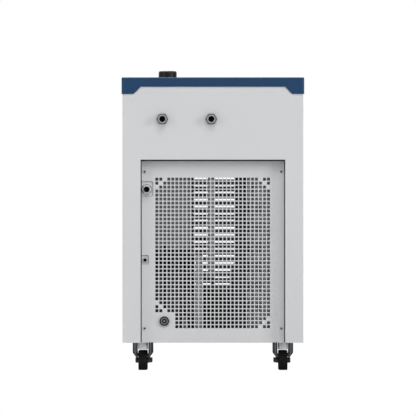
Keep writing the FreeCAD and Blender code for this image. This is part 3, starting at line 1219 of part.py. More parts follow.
def fan_motor():
    """The flat round motor and its shaft."""
    body = rod(V(bracket_x - FAN_MOTOR_LENGTH, fan_y, fan_z), X_AXIS, FAN_MOTOR_RADIUS, FAN_MOTOR_LENGTH)
    body = body.makeChamfer(FAN_MOTOR_BEVEL, edges_at(body, x=bracket_x - FAN_MOTOR_LENGTH))
    shaft_length = FAN_BRACKET_SHEET + FAN_AIR_GAP + FAN_SHAFT_ENGAGEMENT
    return joined(body, rod(V(bracket_x, fan_y, fan_z), X_AXIS, FAN_SHAFT_RADIUS, shaft_length))


def fan_blade():
    """The fan wheel: a domed hub with swept blades set at an angle."""
    hub_x = bracket_x + FAN_BRACKET_SHEET + FAN_AIR_GAP
    hub = rod(V(0, 0, 0), X_AXIS, FAN_HUB_RADIUS, FAN_HUB_LENGTH)
    hub = hub.makeChamfer(FAN_HUB_BEVEL, edges_at(hub, x=FAN_HUB_LENGTH))
    blades = []
    root = FAN_BLADE_ROOT_RADIUS
    middle = (root + FAN_RADIUS) / 2
    for number in range(FAN_BLADE_COUNT):
        t = FAN_BLADE_THICKNESS
        a, b = FAN_BLADE_ROOT_CHORD / 2, FAN_BLADE_TIP_CHORD / 2
        inner_left = V(-t / 2, -a, root)
        inner_right = V(-t / 2, a, root)
        outer_right = V(-t / 2, b, FAN_BLADE_SHOULDER_RADIUS)
        outer_left = V(-t / 2, -b, FAN_BLADE_SHOULDER_RADIUS)
        lead = V(-t / 2, (a + b) / 2 + FAN_BLADE_LEAD_BOW, middle)
        tip = V(-t / 2, FAN_BLADE_TIP_SHIFT, FAN_RADIUS)
        trail = V(-t / 2, FAN_BLADE_TRAIL_BOW - (a + b) / 2, middle)
        outline = Part.Wire([
            Part.LineSegment(inner_left, inner_right).toShape(),
            Part.Arc(inner_right, lead, outer_right).toShape(),
            Part.Arc(outer_right, tip, outer_left).toShape(),
            Part.Arc(outer_left, trail, inner_left).toShape()])
        blade = Part.Face(outline).extrude(X_AXIS * t)
        blade.rotate(V(0, 0, 0), Z_AXIS, FAN_BLADE_PITCH)
        blade.translate(V(FAN_HUB_LENGTH / 2, 0, 0))
        blade.rotate(V(0, 0, 0), X_AXIS, 360 * number / FAN_BLADE_COUNT)
        blades.append(blade)
    fan = joined(hub, *blades)
    fan = fan.common(rod(V(-FAN_HUB_LENGTH, 0, 0), X_AXIS, FAN_RADIUS, 3 * FAN_HUB_LENGTH))
    fan = fan.cut(rod(V(0, 0, 0), X_AXIS, FAN_SHAFT_RADIUS + FAN_SHAFT_CLEARANCE, FAN_BORE_DEPTH))
    fan.translate(V(hub_x, fan_y, fan_z))
    return fan


def filter_drier():
    """The round copper drier with a drawn-down neck at each end."""
    r, n = DRIER_RADIUS, DRIER_NECK_RADIUS
    z0, z1 = drier_z, drier_z + DRIER_LENGTH
    step = DRIER_NECK_LENGTH
    outline = [V(0, 0, z0), V(n, 0, z0), V(n, 0, z0 + step), V(r, 0, z0 + 2 * step), V(r, 0, z1 - 2 * step),
               V(n, 0, z1 - step), V(n, 0, z1), V(0, 0, z1)]
    drier = polygon(outline).revolve(V(0, 0, 0), Z_AXIS, 360)
    drier.translate(V(drier_x, drier_y, 0))
    return drier


def discharge_line():
    """Hot gas from the compressor, low across the floor and up the rear of the condenser."""
    x = shell_x - SHELL_STUB_OFFSET
    start_z = shell_z + SHELL_DISCHARGE_HEIGHT
    y = hose_drop_y - PIPE_RADIUS
    top_z = condenser_top - CONDENSER_STUB_INSET
    return bent_bar([
        V(x, shell_y + SHELL_STUB_REACH, start_z), V(x, y, start_z), V(x, y, low_pipe_z),
        V(condenser_x, y, low_pipe_z), V(condenser_x, y, top_z),
        V(condenser_x, condenser_y1 + CONDENSER_STUB_LENGTH, top_z)], PIPE_RADIUS, PIPE_BEND)


def liquid_line():
    """Liquid from the condenser to the drier, and from there along the front to the heat exchanger."""
    out_z = pan_floor + CONDENSER_OUTLET_HEIGHT
    rise_x = gas_stub_x + LIQUID_SIDE_STEP
    first = bent_bar([
        V(condenser_x, condenser_y0 - CONDENSER_STUB_LENGTH, out_z), V(condenser_x, drier_y, out_z),
        V(drier_x, drier_y, out_z), V(drier_x, drier_y, drier_z + DRIER_LENGTH)], PIPE_RADIUS, PIPE_BEND)
    second = bent_bar([
        V(drier_x, drier_y, drier_z), V(drier_x, drier_y, low_pipe_z), V(rise_x, drier_y, low_pipe_z),
        V(rise_x, drier_y, plate_low_z), V(rise_x, plate_stub_y - LIQUID_APPROACH, plate_low_z),
        V(gas_stub_x, plate_stub_y - PIPE_BEND, plate_low_z), V(gas_stub_x, plate_stub_y, plate_low_z)],
        PIPE_RADIUS, PIPE_BEND)
    return Part.makeCompound([first, second])


def suction_line():
    """Cold gas from the heat exchanger down to the compressor."""
    y = stand_y0 - SUCTION_STAND_GAP
    z = shell_z + SHELL_SUCTION_HEIGHT
    end_x = shell_x + SHELL_STUB_OFFSET
    return bent_bar([V(gas_stub_x, plate_stub_y, plate_high_z), V(gas_stub_x, y, plate_high_z),
                     V(end_x, y, z), V(end_x, shell_y - SHELL_STUB_REACH, z)], PIPE_RADIUS, PIPE_BEND)


def supply_hose():
    """From the pump along the floor of the tank stand, and straight up to the supply port."""
    return bent_bar([
        V(pump_outlet_x, pump_outlet_y, pump_outlet_z), V(SUPPLY_PORT_X, pump_outlet_y, pump_outlet_z),
        V(SUPPLY_PORT_X, hose_drop_y, pump_outlet_z), V(SUPPLY_PORT_X, hose_drop_y, port_z),
        V(SUPPLY_PORT_X, port_inner_y, port_z)], HOSE_RADIUS, HOSE_BEND)


def return_hose():
    """From the return port over the tank to the heat exchanger."""
    side_y = port_inner_y - RETURN_SIDE_RUN
    return bent_bar([
        V(RETURN_PORT_X, port_inner_y, port_z), V(RETURN_PORT_X, port_inner_y - HOSE_BEND, port_z),
        V(water_stub_x, side_y, port_z), V(water_stub_x, plate_stub_y - RETURN_DROP_GAP, port_z),
        V(water_stub_x, plate_stub_y - RETURN_DROP_GAP, plate_high_z),
        V(water_stub_x, plate_stub_y, plate_high_z)], HOSE_RADIUS, HOSE_BEND)


def overflow_hose():
    """From the top of the tank down to the overflow port."""
    return bent_bar([
        V(overflow_x, tank_y1 + TANK_STUB_LENGTH, overflow_stub_z),
        V(overflow_x, small_hose_y, overflow_stub_z),
        V(overflow_x, small_hose_y, overflow_z), V(overflow_x, overflow_inner_y, overflow_z)],
        SMALL_HOSE_RADIUS, SMALL_HOSE_BEND)


def drain_hose():
    """From the bottom of the tank down behind the compressor to the drain."""
    return bent_bar([
        V(drain_x, tank_y1 + TANK_STUB_LENGTH, drain_stub_z), V(drain_x, small_hose_y, drain_stub_z),
        V(drain_x, small_hose_y, drain_z), V(drain_x, overflow_inner_y, drain_z)],
        SMALL_HOSE_RADIUS, SMALL_HOSE_BEND)


def pump_hose():
    """From the foot of the tank forward and down into the pump."""
    return bent_bar([
        V(pump_x, tank_y0 - TANK_STUB_LENGTH, outlet_stub_z), V(pump_x, pump_y, outlet_stub_z),
        V(pump_x, pump_y, pump_inlet_z)], HOSE_RADIUS, HOSE_BEND)


def electrical_box():
    """The sheet box for the electrical parts: open towards the side panel that backs it, closed by a lid."""
    x0 = -inner_x
    y0 = front_y + ELECTRICAL_FRONT_GAP
    z1 = case_top - ELECTRICAL_TOP_GAP
    body = block(x0, x0 + ELECTRICAL_WIDTH, y0, y0 + ELECTRICAL_DEPTH, z1 - ELECTRICAL_HEIGHT, z1)
    wall = ELECTRICAL_WALL
    body = body.cut(block(x0, x0 + ELECTRICAL_WIDTH, y0 + wall, y0 + ELECTRICAL_DEPTH - wall,
                          z1 - ELECTRICAL_HEIGHT + wall, z1 - wall))
    lip = ELECTRICAL_LID_LIP
    cover = block(x0 + ELECTRICAL_WIDTH, x0 + ELECTRICAL_WIDTH + SHEET, y0 - lip,
                  y0 + ELECTRICAL_DEPTH + lip, z1 - ELECTRICAL_HEIGHT - lip, z1 + lip)
    return joined(body, cover)


def rounded_plate(x, z, width, height, y0, y1, radius):
    """An upright plate with rounded corners."""
    plate = block(x - width / 2, x + width / 2, y0, y1, z - height / 2, z + height / 2)
    return plate.makeFillet(radius, [edge for edge in plate.Edges if edge.BoundBox.YLength > (y1 - y0) / 2])


def control_fascia():
    """The moulded control frame: a rounded face, a wall through the panel, and bosses for the board."""
    face = rounded_plate(0, fascia_z, FASCIA_WIDTH, FASCIA_HEIGHT, fascia_face_y, front_y, FASCIA_RADIUS)
    face = face.makeFillet(FASCIA_EDGE_RADIUS, edges_at(face, y=fascia_face_y))
    reach_x = FASCIA_WIDTH / 2 - FASCIA_LAP - FASCIA_FIT
    reach_z = FASCIA_HEIGHT / 2 - FASCIA_LAP - FASCIA_FIT
    wall_end = front_y + FASCIA_WALL_DEPTH
    wall = block(-reach_x, reach_x, front_y, wall_end, fascia_z - reach_z, fascia_z + reach_z)
    wall = wall.cut(block(-reach_x + FASCIA_WALL, reach_x - FASCIA_WALL, front_y, wall_end,
                          fascia_z - reach_z + FASCIA_WALL, fascia_z + reach_z - FASCIA_WALL))
    bosses = [rod(V(x, front_y, z), Y_AXIS, BOSS_RADIUS, board_y - front_y) for x, z in boss_places()]
    half_w, half_h = WINDOW_WIDTH / 2, WINDOW_HEIGHT / 2
    ledge = WINDOW_LEDGE
    cuts = [
        block(WINDOW_X - half_w, WINDOW_X + half_w, fascia_face_y, fascia_face_y + WINDOW_THICKNESS,
              fascia_z - half_h, fascia_z + half_h),
        block(WINDOW_X - half_w + ledge, WINDOW_X + half_w - ledge, fascia_face_y, front_y,
              fascia_z - half_h + ledge, fascia_z + half_h - ledge)]
    key_half = KEY_SIZE / 2 + KEY_CLEARANCE
    for x in key_places().values():
        cuts.append(block(x - key_half, x + key_half, fascia_face_y, front_y, fascia_z - key_half,
                          fascia_z + key_half))
    cuts.append(block(SWITCH_X - SWITCH_BODY_WIDTH / 2, SWITCH_X + SWITCH_BODY_WIDTH / 2, fascia_face_y,
                      front_y, fascia_z - SWITCH_BODY_HEIGHT / 2, fascia_z + SWITCH_BODY_HEIGHT / 2))
    return joined(face, wall, *bosses).cut(cuts)


def boss_places():
    """X and Z of the bosses that the control board is fixed to."""
    reach_x = FASCIA_WIDTH / 2 - FASCIA_LAP - FASCIA_WALL - BOSS_INSET
    reach_z = FASCIA_HEIGHT / 2 - FASCIA_LAP - FASCIA_WALL - BOSS_INSET
    right = SWITCH_X - SWITCH_BODY_WIDTH / 2 - BOSS_INSET
    return [(x, fascia_z + side * reach_z) for x in (-reach_x, right) for side in (-1, 1)]


def display_window():
    """The flat pane over the display."""
    half_w, half_h = WINDOW_WIDTH / 2, WINDOW_HEIGHT / 2
    return block(WINDOW_X - half_w, WINDOW_X + half_w, fascia_face_y, fascia_face_y + WINDOW_THICKNESS,
                 fascia_z - half_h, fascia_z + half_h)


def key_places():
    """Each key's name and its X."""
    return {name: KEY_FIRST_X + number * KEY_PITCH for number, name in enumerate(KEY_NAMES)}


def key(x):
    """A key cap with a flange behind the fascia and a stem towards the board."""
    half = KEY_SIZE / 2
    flange_front = front_y + KEY_CLEARANCE
    flange_back = flange_front + KEY_FLANGE_THICKNESS
    cap = block(x - half, x + half, fascia_face_y - KEY_PROUD, flange_front, fascia_z - half,
                fascia_z + half)
    cap = cap.makeFillet(KEY_EDGE_RADIUS, edges_at(cap, y=fascia_face_y - KEY_PROUD))
    wide = half + KEY_FLANGE
    flange = block(x - wide, x + wide, flange_front, flange_back, fascia_z - wide, fascia_z + wide)
    stem = KEY_STEM / 2
    pusher = block(x - stem, x + stem, flange_back, flange_back + KEY_STEM_LENGTH, fascia_z - stem,
                   fascia_z + stem)
    return joined(cap, flange, pusher)


def control_board():
    """The printed board behind the keys and the display."""
    reach_x = FASCIA_WIDTH / 2 - FASCIA_LAP - FASCIA_WALL - BOARD_MARGIN
    reach_z = FASCIA_HEIGHT / 2 - FASCIA_LAP - FASCIA_WALL - BOARD_MARGIN
    right = SWITCH_X - SWITCH_BODY_WIDTH / 2 - BOARD_MARGIN
    return block(-reach_x, right, board_y, board_y + BOARD_THICKNESS, fascia_z - reach_z, fascia_z + reach_z)


def switch_housing():
    """The switch's frame and body, with the pocket that the rocker swings in."""
    frame = rounded_plate(SWITCH_X, fascia_z, SWITCH_WIDTH, SWITCH_HEIGHT, fascia_face_y - SWITCH_FRAME,
                          fascia_face_y, SWITCH_FRAME)
    half_w, half_h = SWITCH_BODY_WIDTH / 2, SWITCH_BODY_HEIGHT / 2
    body = block(SWITCH_X - half_w, SWITCH_X + half_w, fascia_face_y, fascia_face_y + SWITCH_BODY_DEPTH,
                 fascia_z - half_h, fascia_z + half_h)
    wall = SWITCH_WALL
    pocket = block(SWITCH_X - half_w + wall, SWITCH_X + half_w - wall, fascia_face_y - SWITCH_FRAME,
                   fascia_face_y + SWITCH_BODY_DEPTH - SWITCH_BACK, fascia_z - half_h + wall,
                   fascia_z + half_h - wall)
    pin = rod(V(SWITCH_X - half_w, fascia_face_y + ROCKER_PIVOT_DEPTH, fascia_z), X_AXIS,
              ROCKER_PIN_RADIUS + ROCKER_PIN_CLEARANCE, SWITCH_BODY_WIDTH)
    return joined(frame, body).cut([pocket, pin])


def power_rocker():
    """The rocker: two sloping faces that meet in the middle, on a pin across the housing."""
    half_w = SWITCH_BODY_WIDTH / 2 - SWITCH_WALL - ROCKER_CLEARANCE
    pivot = V(SWITCH_X, fascia_face_y + ROCKER_PIVOT_DEPTH, fascia_z)
    left = V(SWITCH_X - half_w, pivot.y, pivot.z)
    rocker = rod(left, X_AXIS, rocker_radius, 2 * half_w)
    far = 2 * rocker_radius
    ridge = -rocker_face
    flank = ridge - far * math.tan(math.radians(ROCKER_TILT))
    front = polygon([left + V(0, ridge, 0), left + V(0, flank, far), left + V(0, flank - far, far),
                     left + V(0, flank - far, -far), left + V(0, flank, -far)])
    back = block(SWITCH_X - half_w, SWITCH_X + half_w, pivot.y + ROCKER_BACK, pivot.y + far,
                 pivot.z - far, pivot.z + far)
    rocker = rocker.cut([front.extrude(X_AXIS * (2 * half_w)), back])
    pin_start = V(SWITCH_X - SWITCH_BODY_WIDTH / 2, pivot.y, pivot.z)
    rocker = joined(rocker, rod(pin_start, X_AXIS, ROCKER_PIN_RADIUS, SWITCH_BODY_WIDTH))
    rocker.rotate(pivot, X_AXIS, -ROCKER_TILT)
    return rocker


def write(name, shape):
    """Checks a sub-part and writes it to its own file."""
    if not shape.isValid() or not shape.Solids:
        raise ValueError(name + " is not a valid solid")
    shape.exportStep("parts/" + name + ".step")


def main():
    os.makedirs("parts", exist_ok=True)
    for make in (base_pan, front_panel, rear_surround, rear_grille, grille_screws, top_cover, supply_port,
                 return_port, overflow_port, port_nuts, cable_gland, drain_fitting, drain_plug,
                 caster_plates, tank_stand, water_tank, filler_neck, filler_cap, cap_seal,
                 heat_exchanger, circulation_pump, compressor, compressor_mounts, condenser,
                 fan_shroud, fan_bracket, fan_motor, fan_blade,
                 filter_drier, discharge_line, liquid_line, suction_line, supply_hose, return_hose,
                 overflow_hose, drain_hose, pump_hose, electrical_box, control_fascia, display_window,
                 control_board, switch_housing, power_rocker):
        write(make.__name__, make())
    write("side_panel_left", side_panel(-1))
    write("side_panel_right", side_panel(1))
    for name, x in key_places().items():
        write(name, key(x))
    for name, (x, y) in caster_places().items():
        write("caster_fork_" + name, caster_fork(x, y))
        write("caster_wheel_" + name, caster_wheel(x, y))
        write("caster_axle_" + name, caster_axle(x, y))


main()
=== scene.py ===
import math
from contextlib import contextmanager

import bmesh
import bpy
from bpy.props import FloatProperty, FloatVectorProperty, IntProperty, PointerProperty
from mathutils import Matrix, Vector


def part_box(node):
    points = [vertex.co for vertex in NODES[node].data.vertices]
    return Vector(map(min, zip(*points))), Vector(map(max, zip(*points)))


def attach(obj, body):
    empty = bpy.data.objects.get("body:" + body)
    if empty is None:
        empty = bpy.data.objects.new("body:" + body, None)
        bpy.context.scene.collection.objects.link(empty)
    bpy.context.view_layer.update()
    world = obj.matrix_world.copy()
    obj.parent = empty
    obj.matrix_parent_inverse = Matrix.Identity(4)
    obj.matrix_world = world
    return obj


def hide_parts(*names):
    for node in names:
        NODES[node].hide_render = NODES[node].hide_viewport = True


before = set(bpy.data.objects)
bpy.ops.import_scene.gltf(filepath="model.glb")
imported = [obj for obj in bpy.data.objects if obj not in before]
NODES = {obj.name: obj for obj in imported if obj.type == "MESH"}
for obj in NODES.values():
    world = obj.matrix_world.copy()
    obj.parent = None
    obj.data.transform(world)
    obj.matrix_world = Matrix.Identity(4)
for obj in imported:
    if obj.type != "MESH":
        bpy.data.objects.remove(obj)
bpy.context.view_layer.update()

bl_info = {
    "name": "Recirculating chiller",
    "version": (1, 0, 0),
    "blender": (4, 5, 0),
    "location": "3D View > Sidebar > Chiller",
    "description": "Models and dresses the parts of a recirculating chiller on its packed frame",
    "category": "Object",
}

MM = 0.001


def box(name):
    """The low and the high corner of a construction node, in millimetres."""
    return [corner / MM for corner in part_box(name)]


def centre(name, depth=None):
    """The middle of a construction node in millimetres, brought to a given depth along Y if there is one."""
    middle = sum(box(name), Vector()) / 2
    return middle if depth is None else Vector((middle.x, depth, middle.z))


GRILLE_LOW, GRILLE_HIGH = box("rear_grille")
GRILLE_Y = GRILLE_HIGH.y
REAR_Y = box("rear_surround")[1].y
RECESS_HALF = GRILLE_HIGH.x + 2.5
RECESS_TOP = GRILLE_HIGH.z + 2.5
SHEET = 1.5
INNER_LOW = Vector((box("side_panel_left")[0].x + SHEET / 2, box("front_panel")[0].y + SHEET / 2,
                    box("base_pan")[1].z - SHEET / 2))
INNER_HIGH = Vector((-INNER_LOW.x, GRILLE_LOW.y - SHEET, box("rear_surround")[1].z))

CORNERS = ("rear_right", "rear_left", "front_right", "front_left")
AXLE_HEIGHT = 25
TRAIL = 22
SCREW_HEAD = 4
# What keeps the faces of two pieces out of one plane, in millimetres.
CLEAR = 0.02
BEHIND_SHEET = -SHEET - CLEAR
TUBE_BACK = -5.5

# Tube radius, bore, reach, nut thickness, collar, stub radius and stub length.
WATER_TUBE = (10.45, 7.5, 24, 8, 15, 8.5, 15)
OVERFLOW_TUBE = (8.3, 6.9, 22, 7, 11, 6, 8)
PORTS = {"supply_port": WATER_TUBE, "return_port": WATER_TUBE, "overflow_port": OVERFLOW_TUBE}


def linear(code):
    """An sRGB hex colour as linear red, green, blue and alpha."""
    shares = [int(code[place:place + 2], 16) / 255 for place in (1, 3, 5)]
    return [s / 12.92 if s <= 0.04045 else ((s + 0.055) / 1.055) ** 2.4 for s in shares] + [1.0]


def colour_setting(name, description, code):
    return FloatVectorProperty(name=name, description=description, subtype="COLOR", size=4, min=0, max=1,
                               default=linear(code))


def length_setting(name, description, millimetres):
    return FloatProperty(name=name, description=description, subtype="DISTANCE", unit="LENGTH",
                         default=millimetres * MM)


def power_setting(name, description, watts):
    return FloatProperty(name=name, description=description, unit="POWER", default=watts)


class CaseSettings(bpy.types.PropertyGroup):
    """Colours of the painted sheets and the moulded parts."""
    grey: colour_setting("Case grey", "Powder coat of the case sheets", "#D2D3D5")
    blue: colour_setting("Lid blue", "Powder coat of the lid", "#1B3E62")
    black: colour_setting("Moulded black", "Colour of cap, inlet and drain rim", "#161615")


class GrilleSettings(bpy.types.PropertyGroup):
    """The punched pattern of the rear panel."""
    pitch: length_setting("Hole pitch", "Distance from one hole to the next", 9.93)
    hole: length_setting("Hole size", "Side of each square hole", 7.4)
    columns: IntProperty(name="Columns", description="Number of holes across", default=29, min=1)
    rows: IntProperty(name="Rows", description="Number of holes from top to bottom", default=38, min=1)
    first_x: length_setting("First column", "Middle of the first column from the machine's middle", 139.6)
    first_z: length_setting("First row", "Height of the first row over the floor", 475.7)


class PortSettings(bpy.types.PropertyGroup):
    """Threads and nuts of the water ports."""
    thread_pitch: length_setting("Thread pitch", "Distance between two turns of the thread", 1.8)
    thread_depth: length_setting("Thread depth", "Depth of the thread", 0.8)
    nut_flats: length_setting("Nut width", "Size over the flats of the large nuts", 26.4)
    small_nut_flats: length_setting("Small nut width", "Size over the flats of the overflow nut", 20.8)


class CasterSettings(bpy.types.PropertyGroup):
    """Casters under the case."""
    flange: length_setting("Fork flange", "Width of the flange along each leg of a fork", 11)
    sheet: length_setting("Fork sheet", "Thickness of the fork's sheet", 2.5)


class StageSettings(bpy.types.PropertyGroup):
    """Camera and lights."""
    distance: length_setting("Camera distance", "From the rear sheet to the camera", 40000)
    height: length_setting("Camera height", "Height of the camera over the floor", 120)
    aim: length_setting("Aim height", "Height on the rear sheet that the camera looks at", 403.6)
    focal: FloatProperty(name="Focal length", description="In millimetres on a 36 mm sensor", default=1390.7)
    shift: FloatProperty(name="Shift", description="Sideways, as a share of the picture", default=-0.0118)
    key: power_setting("Key light", "Power of the light above", 705)
    side: power_setting("Side light", "Power of the light on the right", 625)
    fill: power_setting("Fill light", "Power of the light on the left", 248)
    front: power_setting("Front light", "Power of the light in front of the controls", 430)
    room: FloatProperty(name="Room light", description="Strength of the even light all round", default=0.3)
    dark_wall: FloatProperty(name="Dark wall", description="What metal sees of the wall behind the camera",
                             default=0.3)


def node(tree, kind, inputs=None, **settings):
    """Adds one shader node and gives its outputs; each input is a value or the socket that feeds it."""
    made = tree.nodes.new("ShaderNode" + kind)
    for name, value in settings.items():
        setattr(made, name, value)
    for name, value in (inputs or {}).items():
        if isinstance(value, bpy.types.NodeSocket):
            tree.links.new(value, made.inputs[name])
        else:
            made.inputs[name].default_value = value
    return made.outputs


def bare_tree(owner):
    """Gives a material or a world nodes, and takes out those that it starts with."""
    owner.use_nodes = True
    owner.node_tree.nodes.clear()
    return owner.node_tree


def object_place(tree):
    """The object's own coordinates, in metres."""
    return node(tree, "TexCoord")["Object"]


def pattern(kind, size, output="Fac", mapped=None, settings=None, **inputs):
    """What adds a texture on the object's own coordinates, its grain a real size in millimetres."""
    def added(tree):
        place = object_place(tree)
        if mapped:
            place = node(tree, "Mapping", {"Vector": place, **mapped})["Vector"]
        made = node(tree, "Tex" + kind, {"Vector": place, "Scale": 1 / (size * MM), **inputs},
                    **(settings or {}))[output]
        return node(tree, "SeparateColor", {"Color": made})[0] if output == "Color" else made
    return added


# A wave texture draws this many bands to one unit of its coordinates.
WAVE = 20 / math.tau


def braid(tree):
    """Two slanting sets of bands 6 mm apart, coarser than real ones so that they show, the higher on top."""
    bands = [pattern("Wave", WAVE * 6, mapped={"Rotation": (turn, turn, 0)},
                     settings={"bands_direction": "Z"})(tree) for turn in (0.8, -0.8)]
    return node(tree, "Math", {0: bands[0], 1: bands[1]}, operation="MAXIMUM")[0]


def inside_box(low, high):
    """What adds a mask that is 1 between two corners in millimetres, and 0 outside them."""
    def added(tree):
        offset = node(tree, "VectorMath", {0: object_place(tree), 1: (low + high) / 2 * MM},
                      operation="SUBTRACT")
        reach = node(tree, "VectorMath", {0: offset[0]}, operation="ABSOLUTE")
        past = node(tree, "VectorMath", {0: reach[0], 1: (high - low) / 2 * MM}, operation="SUBTRACT")
        x, y, z = node(tree, "SeparateXYZ", {0: past[0]})
        widest = node(tree, "Math", {0: x, 1: y}, operation="MAXIMUM")
        widest = node(tree, "Math", {0: widest[0], 1: z}, operation="MAXIMUM")
        return node(tree, "Math", {0: widest[0], 1: 0.0}, operation="LESS_THAN")[0]
    return added


def round_axes(axes, outer, inner=0.0):
    """What adds a mask that is 1 between two distances, in millimetres, from any of some axes along Y."""
    def added(tree):
        flat = node(tree, "VectorMath", {0: object_place(tree), 1: (1, 0, 1)}, operation="MULTIPLY")
        mask = 0.0
        for axis in axes:
            away = node(tree, "VectorMath", {0: flat[0], 1: (axis.x * MM, 0, axis.z * MM)},
                        operation="DISTANCE")["Value"]
            near, hollow = [node(tree, "Math", {0: away, 1: radius * MM}, operation="LESS_THAN")[0]
                            for radius in (outer, inner)]
            ring = node(tree, "Math", {0: near, 1: hollow}, operation="SUBTRACT")[0]
            mask = node(tree, "Math", {0: mask, 1: ring}, operation="MAXIMUM")[0]
        return mask
    return added


def surface(name, colour, roughness, tone, darkest, relief, depth, strength=0.5, lighter=1.0,
            fine_gloss=False, painted_shade=None, **sockets):
    """A material with one shader, made from what the real surface shows.

    The tone takes the colour down to its darkest share, and a roughness given as two limits follows it, or
    the relief where the gloss is that fine. The relief is as deep as given in millimetres; where there is
    none, the tone stands out. Each is a pattern, or noise as its size in millimetres and its detail. A
    painted shade is a mask, the dark colour painted under it as shade, and the limits between which it
    brings other sockets.
    """
    tree = bare_tree(bpy.data.materials.new(name))

    def laid(what):
        return what(tree) if callable(what) else pattern("Noise", what[0], Detail=what[1])(tree)

    def between(value, limits):
        return node(tree, "MapRange", {"Value": value, "To Min": limits[0], "To Max": limits[1]})[0]

    tone = laid(tone)
    relief = laid(relief) if relief else tone
    colour = linear(colour) if isinstance(colour, str) else colour
    light = [min(1, channel * lighter) for channel in colour[:3]]
    dark = [channel * darkest for channel in light]
    skin = node(tree, "Mix", {0: tone, 6: [*light, 1], 7: [*dark, 1]}, data_type="RGBA")[2]
    # A painted shade lays a dark colour under its mask, where shade falls.
    if painted_shade:
        mask, under, changed = painted_shade
        mask = mask(tree)
        skin = node(tree, "Mix", {0: mask, 6: skin, 7: linear(under)}, data_type="RGBA")[2]
        sockets.update({socket: between(mask, limits) for socket, limits in changed.items()})
    if isinstance(roughness, tuple):
        roughness = between(relief if fine_gloss else tone, roughness)
    bump = node(tree, "Bump", {"Height": relief, "Distance": depth * MM, "Strength": strength})
    sockets.update({"Base Color": skin, "Roughness": roughness, "Normal": bump["Normal"]})
    shader = node(tree, "BsdfPrincipled", sockets)
    node(tree, "OutputMaterial", {"Surface": shader["BSDF"]})


def alone(piece):
    """Selects one piece and nothing else."""
    bpy.ops.object.select_all(action="DESELECT")
    piece.select_set(True)
    bpy.context.view_layer.objects.active = piece


def named(piece, name):
    """Gives a piece and its mesh one name."""
    piece.name = piece.data.name = name
    return piece


@contextmanager
def editing(piece, kind="FACE", action="DESELECT"):
    """Edit mode on one piece, with nothing or all of it selected."""
    alone(piece)
    bpy.ops.object.mode_set(mode="EDIT")
    bpy.ops.mesh.select_mode(type=kind)
    bpy.ops.mesh.select_all(action=action)
    yield
    bpy.ops.object.mode_set(mode="OBJECT")


def pick(piece, test):
    """Selects the faces whose middle and normal pass a test, and no others."""
    mesh = bmesh.from_edit_mesh(piece.data)
    found = 0
    for face in mesh.faces:
        chosen = bool(test(face.calc_center_median(), face.normal))
        face.select_set(chosen)
        found += chosen
    mesh.select_flush_mode()
    bmesh.update_edit_mesh(piece.data)
    if not found:
        raise RuntimeError("no face of " + piece.name + " passes the test")


def rounded(piece, radius, test):
    """Rounds the edges whose two ends pass a test, by a radius in millimetres."""
    with editing(piece, "EDGE"):
        mesh = bmesh.from_edit_mesh(piece.data)
        for edge in mesh.edges:
            edge.select_set(test(*[end.co for end in edge.verts]))
        bmesh.update_edit_mesh(piece.data)
        bpy.ops.mesh.bevel(offset=radius * MM, segments=6)
    return piece


def primitive(add, name, **where):
    """Adds a primitive with nothing else selected, and names it."""
    bpy.ops.object.select_all(action="DESELECT")
    add(**where)
    return named(bpy.context.active_object, name)


def apply_place(piece):
    """Moves a piece's place, turn and size into its mesh."""
    alone(piece)
    bpy.ops.object.transform_apply(location=True, rotation=True, scale=True)
    return piece


def moved(piece, shift):
    """Moves a piece's mesh by a distance in millimetres."""
    piece.data.transform(Matrix.Translation(Vector(shift) * MM))
    return piece


def apply_modifier(piece, kind, **settings):
    """Adds a modifier, sets it and applies it."""
    modifier = piece.modifiers.new(kind.title(), kind)
    for name, value in settings.items():
        setattr(modifier, name, value)
    alone(piece)
    bpy.ops.object.modifier_apply(modifier=modifier.name)
    return piece


def bevelled(piece, width):
    """Breaks a piece's edges by a width in millimetres."""
    return apply_modifier(piece, "BEVEL", width=width * MM, segments=2, limit_method="ANGLE")


def combined(piece, other, operation="DIFFERENCE"):
    """Cuts or crosses a piece with another one, which is used up."""
    apply_modifier(piece, "BOOLEAN", operation=operation, object=other, solver="EXACT")
    bpy.data.objects.remove(other)
    return piece


def joined(name, *pieces):
    """Several pieces as one, under one name."""
    alone(pieces[0])
    for piece in pieces:
        piece.select_set(True)
    bpy.ops.object.join()
    return named(pieces[0], name)


def repeated(piece, places):
    """Copies of a piece that is used up, each with its own mesh and moved by a place in millimetres."""
    twins = []
    for place in places:
        twins.append(piece.copy())
        twins[-1].data = piece.data.copy()
        bpy.context.scene.collection.objects.link(moved(twins[-1], place))
    bpy.data.objects.remove(piece)
    return twins


def raised(sections):
    """Extrudes what is selected from section to section, each its middle and two sizes in millimetres."""
    *last, wide, deep = sections[0]
    for *middle, next_wide, next_deep in sections[1:]:
        shift = (Vector(middle) - Vector(last)) * MM
        bpy.ops.mesh.extrude_region_move(TRANSFORM_OT_translate={"value": tuple(shift)})
        bpy.ops.transform.resize(value=(next_wide / wide, next_deep / deep, 1),
                                 center_override=tuple(Vector(middle) * MM))
        last, wide, deep = middle, next_wide, next_deep


def facing_out():
    """Turns all faces of the mesh in edit mode outwards."""
    bpy.ops.mesh.select_all(action="SELECT")
    bpy.ops.mesh.normals_make_consistent(inside=False)


TURNS = {"+Z": (0, 0, 0), "+Y": (-math.pi / 2, 0, 0), "-Y": (math.pi / 2, 0, 0),
         "+X": (0, math.pi / 2, 0), "-X": (0, -math.pi / 2, 0)}


